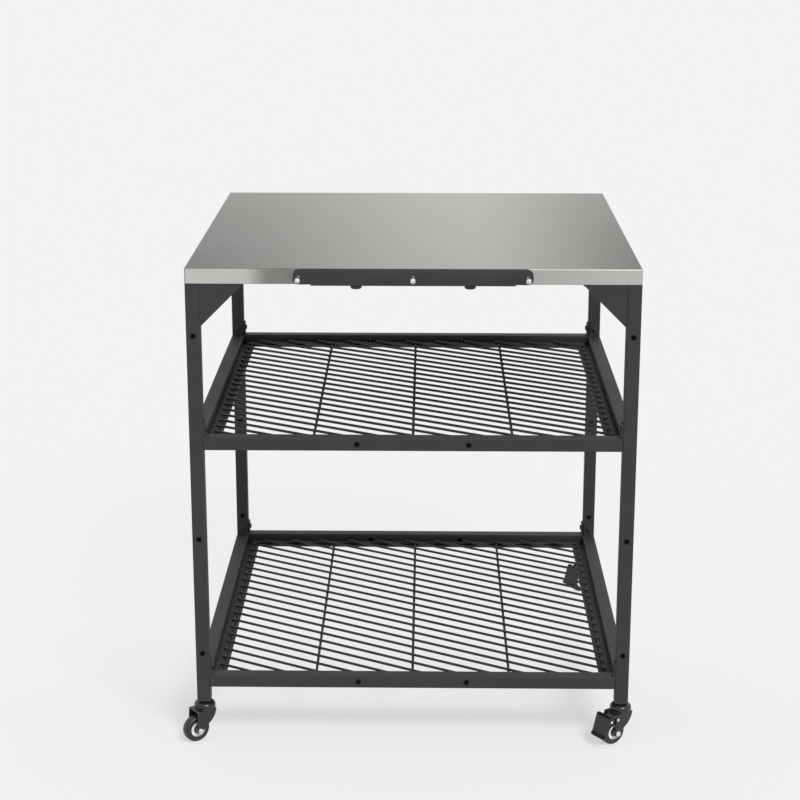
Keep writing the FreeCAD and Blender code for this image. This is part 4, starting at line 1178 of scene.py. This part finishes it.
def caster_data(name, mesh, material, sharp=35):
    """Mesh data of a caster piece, turned about the stem to the way the casters stand."""
    bmesh.ops.rotate(mesh, cent=(0, 0, 0), matrix=Matrix.Rotation(CASTER_TURN, 3, "Z"), verts=mesh.verts)
    return finished_mesh(name, mesh, material, sharp)


def fit_casters(piece, data, body, corners=CORNERS):
    """Put the same mesh on each caster; body is frame, or the start of the moving body's name."""
    for corner in corners:
        node = f"caster_{corner}_{piece}"
        on = body if body == "frame" else f"{body}_{corner}"
        x, y, _ = JOINTS["swivel_" + corner]["pos_m"]
        place_piece(node + "_dressed", data, on, node, Matrix.Translation((x, y, 0)))


# Operators

class OvenTableOperator:
    """What every operator of this table shares."""

    bl_options = {"REGISTER", "UNDO"}


class OVENTABLE_OT_mix_finishes(OvenTableOperator, bpy.types.Operator):
    """Make the materials of the table's finishes"""

    bl_idname = "oven_table.mix_finishes"
    bl_label = "Mix finishes"

    def execute(self, context):
        finishes = context.scene.oven_table_finishes
        brushed_stainless("brushed_stainless_sheet", finishes, 1.0)
        brushed_stainless("mill_stainless_channel", finishes, 0.8)
        powder_coat("powder_coated_steel", finishes.coat, finishes.coat_gloss, 3.0)
        # The wire coat is the frame's coat painted darker, as shade on the wires and ledges
        powder_coat("powder_coat_painted_shade", finishes.wire_coat, finishes.coat_gloss - 0.06, 2.0)
        black_oxide("black_oxide_steel", "#26262a", "#46464c")
        # Painted shade: the inserts are near black so that they read as the shade inside the holes
        black_oxide("black_oxide_with_hole_shade", "#060607", "#101012")
        bright_zinc("zinc_plated_steel")
        turned_steel("tumbled_stainless")
        moulded_nylon("moulded_nylon_grip", linear("#232326"), 0.36)
        moulded_nylon("moulded_polyethylene_plug", linear("#2b2b2d"), 0.5)
        moulded_nylon("moulded_nylon_cover", linear("#34333a"), 0.4)
        dipped_coat("electro_dipped_pressing", finishes.caster_coat)
        soft_tread("moulded_rubber_tread", finishes.tread)
        moulded_polypropylene("moulded_polypropylene_core", finishes.wheel_core)
        return {"FINISHED"}


class OVENTABLE_OT_finish_top(OvenTableOperator, bpy.types.Operator):
    """Give the folded top and its channels their brushed stainless"""

    bl_idname = "oven_table.finish_top"
    bl_label = "Finish top"

    def execute(self, context):
        dress(["table_top"], "brushed_stainless_sheet")
        dress(["top_stiffeners"], "mill_stainless_channel")
        return {"FINISHED"}


class OVENTABLE_OT_coat_frame(OvenTableOperator, bpy.types.Operator):
    """Powder coat the legs, gussets, rails and ledges"""

    bl_idname = "oven_table.coat_frame"
    bl_label = "Coat frame"

    def execute(self, context):
        dress(LEGS + GUSSETS + RAILS, "powder_coated_steel")
        # Painted shade: the ledges take the darker wire coat for the shade between rails and wires; their
        # real coat is the frame's
        dress(LEDGES, "powder_coat_painted_shade")
        dress(["leg_plugs"], "moulded_polyethylene_plug")
        return {"FINISHED"}


class OVENTABLE_OT_weld_shelves(OvenTableOperator, bpy.types.Operator):
    """Make the two welded wire shelves"""

    bl_idname = "oven_table.weld_shelves"
    bl_label = "Weld shelves"

    def execute(self, context):
        for shelf in SHELVES:
            mesh = wire_shelf(shelf, context.scene.oven_table_forms)
            fit_on_frame(shelf + "_shelf_wires", mesh, "powder_coat_painted_shade",
                         shelf + "_shelf_grille", 50)
        return {"FINISHED"}


class OVENTABLE_OT_fit_bolts(OvenTableOperator, bpy.types.Operator):
    """Make the bolts of the top and shelves, and the threaded inserts"""

    bl_idname = "oven_table.fit_bolts"
    bl_label = "Fit bolts"

    def execute(self, context):
        pitch = context.scene.oven_table_forms.thread_pitch / MM
        leg_low, leg_high = in_mm("leg_back_right")
        inner = leg_low.x
        middle = (leg_low.x + leg_high.x) / 2
        quarters = [(x, y) for x in (-1, 1) for y in (-1, 1)]
        mesh = bmesh.new()
        on_gusset = inner - GUSSET_BOLT_INSET
        height = leg_high.z - GUSSET_SHEET
        for x, y in quarters:
            for place in ((x * on_gusset, y * middle, height), (x * middle, y * on_gusset, height)):
                domed_bolt(mesh, aimed(place, (0, 0, -1)), GUSSET_BOLT_LENGTH, pitch)
        fit_on_frame("gusset_bolts_dressed", mesh, "black_oxide_steel", "gusset_bolts")
        mesh = bmesh.new()
        on_tab = inner - TAB_SHEET
        for shelf in SHELVES:
            height = in_mm(shelf + "_shelf_rail_front")[1].z - SHELF_BOLT_DROP
            for x, y in quarters:
                for place, way in (((x * on_tab, y * middle, height), (-x, 0, 0)),
                                   ((x * middle, y * on_tab, height), (0, -y, 0))):
                    domed_bolt(mesh, aimed(place, way), SHELF_BOLT_LENGTH, pitch)
        fit_on_frame("shelf_bolts_dressed", mesh, "black_oxide_steel", "shelf_bolts")
        self.fit_inserts(pitch)
        return {"FINISHED"}

    def fit_inserts(self, pitch):
        """Inserts in the front faces of the rails and legs."""
        leg_low, leg_high = in_mm("leg_back_right")
        middle = (leg_low.x + leg_high.x) / 2
        faces = (-leg_high.y, leg_low.y)
        rails = [in_mm(shelf + "_shelf_rail_front")[0].z + RAIL_HEIGHT / 2 for shelf in SHELVES]
        places = [(x, y, z) for z in rails for y in faces for x in (-RAIL_INSERT_X, RAIL_INSERT_X)]
        places += [(x, y, z) for z in LEG_INSERT_HEIGHTS for y in faces for x in (-middle, middle)]
        mesh = bmesh.new()
        for place in places:
            threaded_insert(mesh, aimed(place, (0, -1, 0)), pitch)
        # Near-black inserts: painted shade of the holes
        fit_on_frame("threaded_inserts_dressed", mesh, "black_oxide_with_hole_shade",
                     "threaded_inserts")


class OVENTABLE_OT_fit_tool_bar(OvenTableOperator, bpy.types.Operator):
    """Make the tool bar, its hooks and its grip screws"""

    bl_idname = "oven_table.fit_tool_bar"
    bl_label = "Fit tool bar"

    def execute(self, context):
        pitch = context.scene.oven_table_forms.thread_pitch / MM
        fit_on_frame("accessory_bar_dressed", tool_bar_mesh(), "powder_coated_steel",
                     "accessory_bar")
        mesh = bmesh.new()
        bar_low, bar_high = in_mm("accessory_bar")
        outermost = bar_high.x - HOOK_END_INSET
        for x in (-outermost, 0, outermost):
            tool_hook(mesh, aimed((x, bar_low.y, bar_high.z - HOOK_BELOW_TOP), (0, -1, 0)))
        fit_on_frame("tool_hooks_dressed", mesh, "tumbled_stainless", "tool_hooks")
        mesh = bmesh.new()
        for x in (-KNOB_X, KNOB_X):
            grip_screw(mesh, Matrix.Translation((x, KNOB_Y, bar_low.z)), pitch)
        fit_on_frame("grip_screws_dressed", mesh, "moulded_nylon_grip", "bar_thumb_screws")
        return {"FINISHED"}


class OVENTABLE_OT_fit_wheels(OvenTableOperator, bpy.types.Operator):
    """Make the tyres, cores, bearing covers and axles of the four casters"""

    bl_idname = "oven_table.fit_wheels"
    bl_label = "Fit wheels"

    def execute(self, context):
        forms = context.scene.oven_table_forms
        pitch = forms.thread_pitch / MM
        tyre = caster_data("caster_tyre", tyre_mesh(forms), "moulded_rubber_tread", 50)
        fit_casters("tyre", tyre, "wheel")
        hub = caster_data("caster_hub", hub_mesh(), "moulded_polypropylene_core")
        fit_casters("hub", hub, "wheel")
        covers = caster_data("caster_bearing_covers", bearing_cover_mesh(), "moulded_nylon_cover")
        fit_casters("bearing_covers", covers, "wheel")
        axle = caster_data("caster_axle", axle_mesh(pitch), "zinc_plated_steel")
        fit_casters("axle", axle, "fork")
        return {"FINISHED"}


class OVENTABLE_OT_fit_forks(OvenTableOperator, bpy.types.Operator):
    """Make the stems and pressed forks of the four casters"""

    bl_idname = "oven_table.fit_forks"
    bl_label = "Fit forks"

    def execute(self, context):
        forms = context.scene.oven_table_forms
        pitch = forms.thread_pitch / MM
        stem = caster_data("caster_stem", stem_mesh(pitch), "electro_dipped_pressing", 50)
        fit_casters("stem", stem, "frame")
        fork = caster_data("caster_fork", fork_mesh(forms), "electro_dipped_pressing", 50)
        fit_casters("fork", fork, "fork")
        return {"FINISHED"}


class OVENTABLE_OT_fit_brakes(OvenTableOperator, bpy.types.Operator):
    """Make the pedals, pivots and shoe rivets of the two braked casters"""

    bl_idname = "oven_table.fit_brakes"
    bl_label = "Fit brakes"

    def execute(self, context):
        forms = context.scene.oven_table_forms
        pedal = caster_data("caster_brake_pedal", pedal_mesh(forms), "electro_dipped_pressing", 40)
        fit_casters("brake_pedal", pedal, "pedal", BRAKED)
        pivot = caster_data("caster_brake_pivot", rivet_mesh(PIVOT, FORK_HALF), "zinc_plated_steel")
        fit_casters("brake_pivot", pivot, "fork", BRAKED)
        rivet = rivet_mesh(SHOE_RIVET, EAR_OUTER)
        shoe_rivet = caster_data("caster_shoe_rivet", rivet, "zinc_plated_steel")
        fit_casters("shoe_rivet", shoe_rivet, "pedal", BRAKED)
        return {"FINISHED"}


FLOOR_HALF = 60.0
WASHED_FROM = -0.3
WASHED_TO = 0.15


def seen_ray(tree):
    """1 for rays that end in the picture, straight or by way of metal or glass, else 0."""
    path = add_node(tree, "LightPath").outputs
    both = add_node(tree, "Math", (path["Is Camera Ray"], path["Is Glossy Ray"]), operation="MAXIMUM")
    return add_node(tree, "Math", (both, path["Is Transmission Ray"]), operation="MAXIMUM")


def painted_floor(name, studio):
    """Painted floor: matt and even, part of its colour its own light, so that it stays pale.

    From under the table backwards more of its colour is its own light, a painted wash that fades its shadows
    there; no lamp lights it.
    """
    tree, place = start_material(name)
    back = add_node(tree, "SeparateXYZ", (place,)).outputs["Y"]
    near, far = 1 - studio.shadow_share, 1 - studio.far_share
    # Painted light: the floor's own glow rises from under the table backwards
    washed = add_node(tree, "MapRange", (back, WASHED_FROM, WASHED_TO, near, far))
    share = add_node(tree, "Math", (seen_ray(tree), washed), operation="MULTIPLY")
    lit = add_node(tree, "BsdfDiffuse", {"Color": studio.backdrop})
    own = add_node(tree, "Emission", {"Color": studio.backdrop})
    add_node(tree, "OutputMaterial", {"Surface": add_node(tree, "MixShader", (share, lit, own))})


class OVENTABLE_OT_set_stage(OvenTableOperator, bpy.types.Operator):
    """Lay the floor, light it softly and stand the camera where the table is seen from"""

    bl_idname = "oven_table.set_stage"
    bl_label = "Set stage"

    def execute(self, context):
        scene = context.scene
        studio = scene.oven_table_studio
        mesh = bmesh.new()
        bmesh.ops.create_grid(mesh, x_segments=2, y_segments=2, size=FLOOR_HALF)
        data = bpy.data.meshes.new("studio_floor")
        mesh.to_mesh(data)
        mesh.free()
        painted_floor("painted_floor", studio)
        data.materials.append(bpy.data.materials["painted_floor"])
        floor = bpy.data.objects.new("studio_floor", data)
        scene.collection.objects.link(floor)
        self.light(scene, studio)
        self.stand_camera(scene, studio)
        scene.view_settings.view_transform = "Standard"
        return {"FINISHED"}

    def light(self, scene, studio):
        """Even light from all round and one soft key light from the front right."""
        world = bpy.data.worlds.new("studio")
        world.use_nodes = True
        tree = world.node_tree
        tree.nodes.clear()
        fill = add_node(tree, "Background", {"Color": (1, 1, 1), "Strength": studio.sky_strength})
        backdrop = add_node(tree, "Background", {"Color": studio.backdrop})
        mix = add_node(tree, "MixShader", (seen_ray(tree), fill, backdrop))
        add_node(tree, "OutputWorld", {"Surface": mix})
        scene.world = world
        sun = bpy.data.lights.new("key_light", "SUN")
        sun.energy = studio.sun_strength
        sun.angle = studio.sun_size
        lamp = bpy.data.objects.new("key_light", sun)
        lamp.rotation_euler = (math.pi / 2 - studio.sun_height, 0, studio.sun_turn)
        scene.collection.objects.link(lamp)

    def stand_camera(self, scene, studio):
        """Camera at the height and distance that the table is seen from."""
        lens = bpy.data.cameras.new("camera")
        lens.sensor_width = 36.0
        lens.lens = lens.sensor_width / 2 / math.tan(studio.field_of_view / 2)
        lens.clip_end = 200.0
        camera = bpy.data.objects.new("camera", lens)
        camera.location = studio.camera_place
        camera.rotation_euler = (math.pi / 2 - studio.camera_dip, 0, studio.camera_turn)
        scene.collection.objects.link(camera)
        scene.camera = camera


STEPS = (
    OVENTABLE_OT_mix_finishes, OVENTABLE_OT_finish_top, OVENTABLE_OT_coat_frame, OVENTABLE_OT_weld_shelves,
    OVENTABLE_OT_fit_bolts, OVENTABLE_OT_fit_tool_bar, OVENTABLE_OT_fit_wheels, OVENTABLE_OT_fit_forks,
    OVENTABLE_OT_fit_brakes, OVENTABLE_OT_set_stage,
)


class OVENTABLE_PT_sidebar(bpy.types.Panel):
    """Settings and steps of the oven table"""

    bl_idname = "OVENTABLE_PT_sidebar"
    bl_label = "Oven Table"
    bl_space_type = "VIEW_3D"
    bl_region_type = "UI"
    bl_category = "Oven Table"

    def draw(self, context):
        for group in ("oven_table_finishes", "oven_table_forms", "oven_table_studio"):
            settings = getattr(context.scene, group)
            box = self.layout.box()
            for name in settings.__annotations__:
                box.prop(settings, name)
        for step in STEPS:
            self.layout.operator(step.bl_idname)


GROUPS = {"oven_table_finishes": TableFinishes, "oven_table_forms": FineForms, "oven_table_studio": Studio}


def register():
    for name, group in GROUPS.items():
        bpy.utils.register_class(group)
        setattr(bpy.types.Scene, name, bpy.props.PointerProperty(type=group))
    for step in STEPS:
        bpy.utils.register_class(step)
    bpy.utils.register_class(OVENTABLE_PT_sidebar)


def unregister():
    bpy.utils.unregister_class(OVENTABLE_PT_sidebar)
    for step in reversed(STEPS):
        bpy.utils.unregister_class(step)
    for name, group in GROUPS.items():
        delattr(bpy.types.Scene, name)
        bpy.utils.unregister_class(group)


def main():
    """Run every step in order."""
    register()
    for step in STEPS:
        getattr(bpy.ops.oven_table, step.bl_idname.split(".")[1])()


if __name__ == "__main__":
    main()
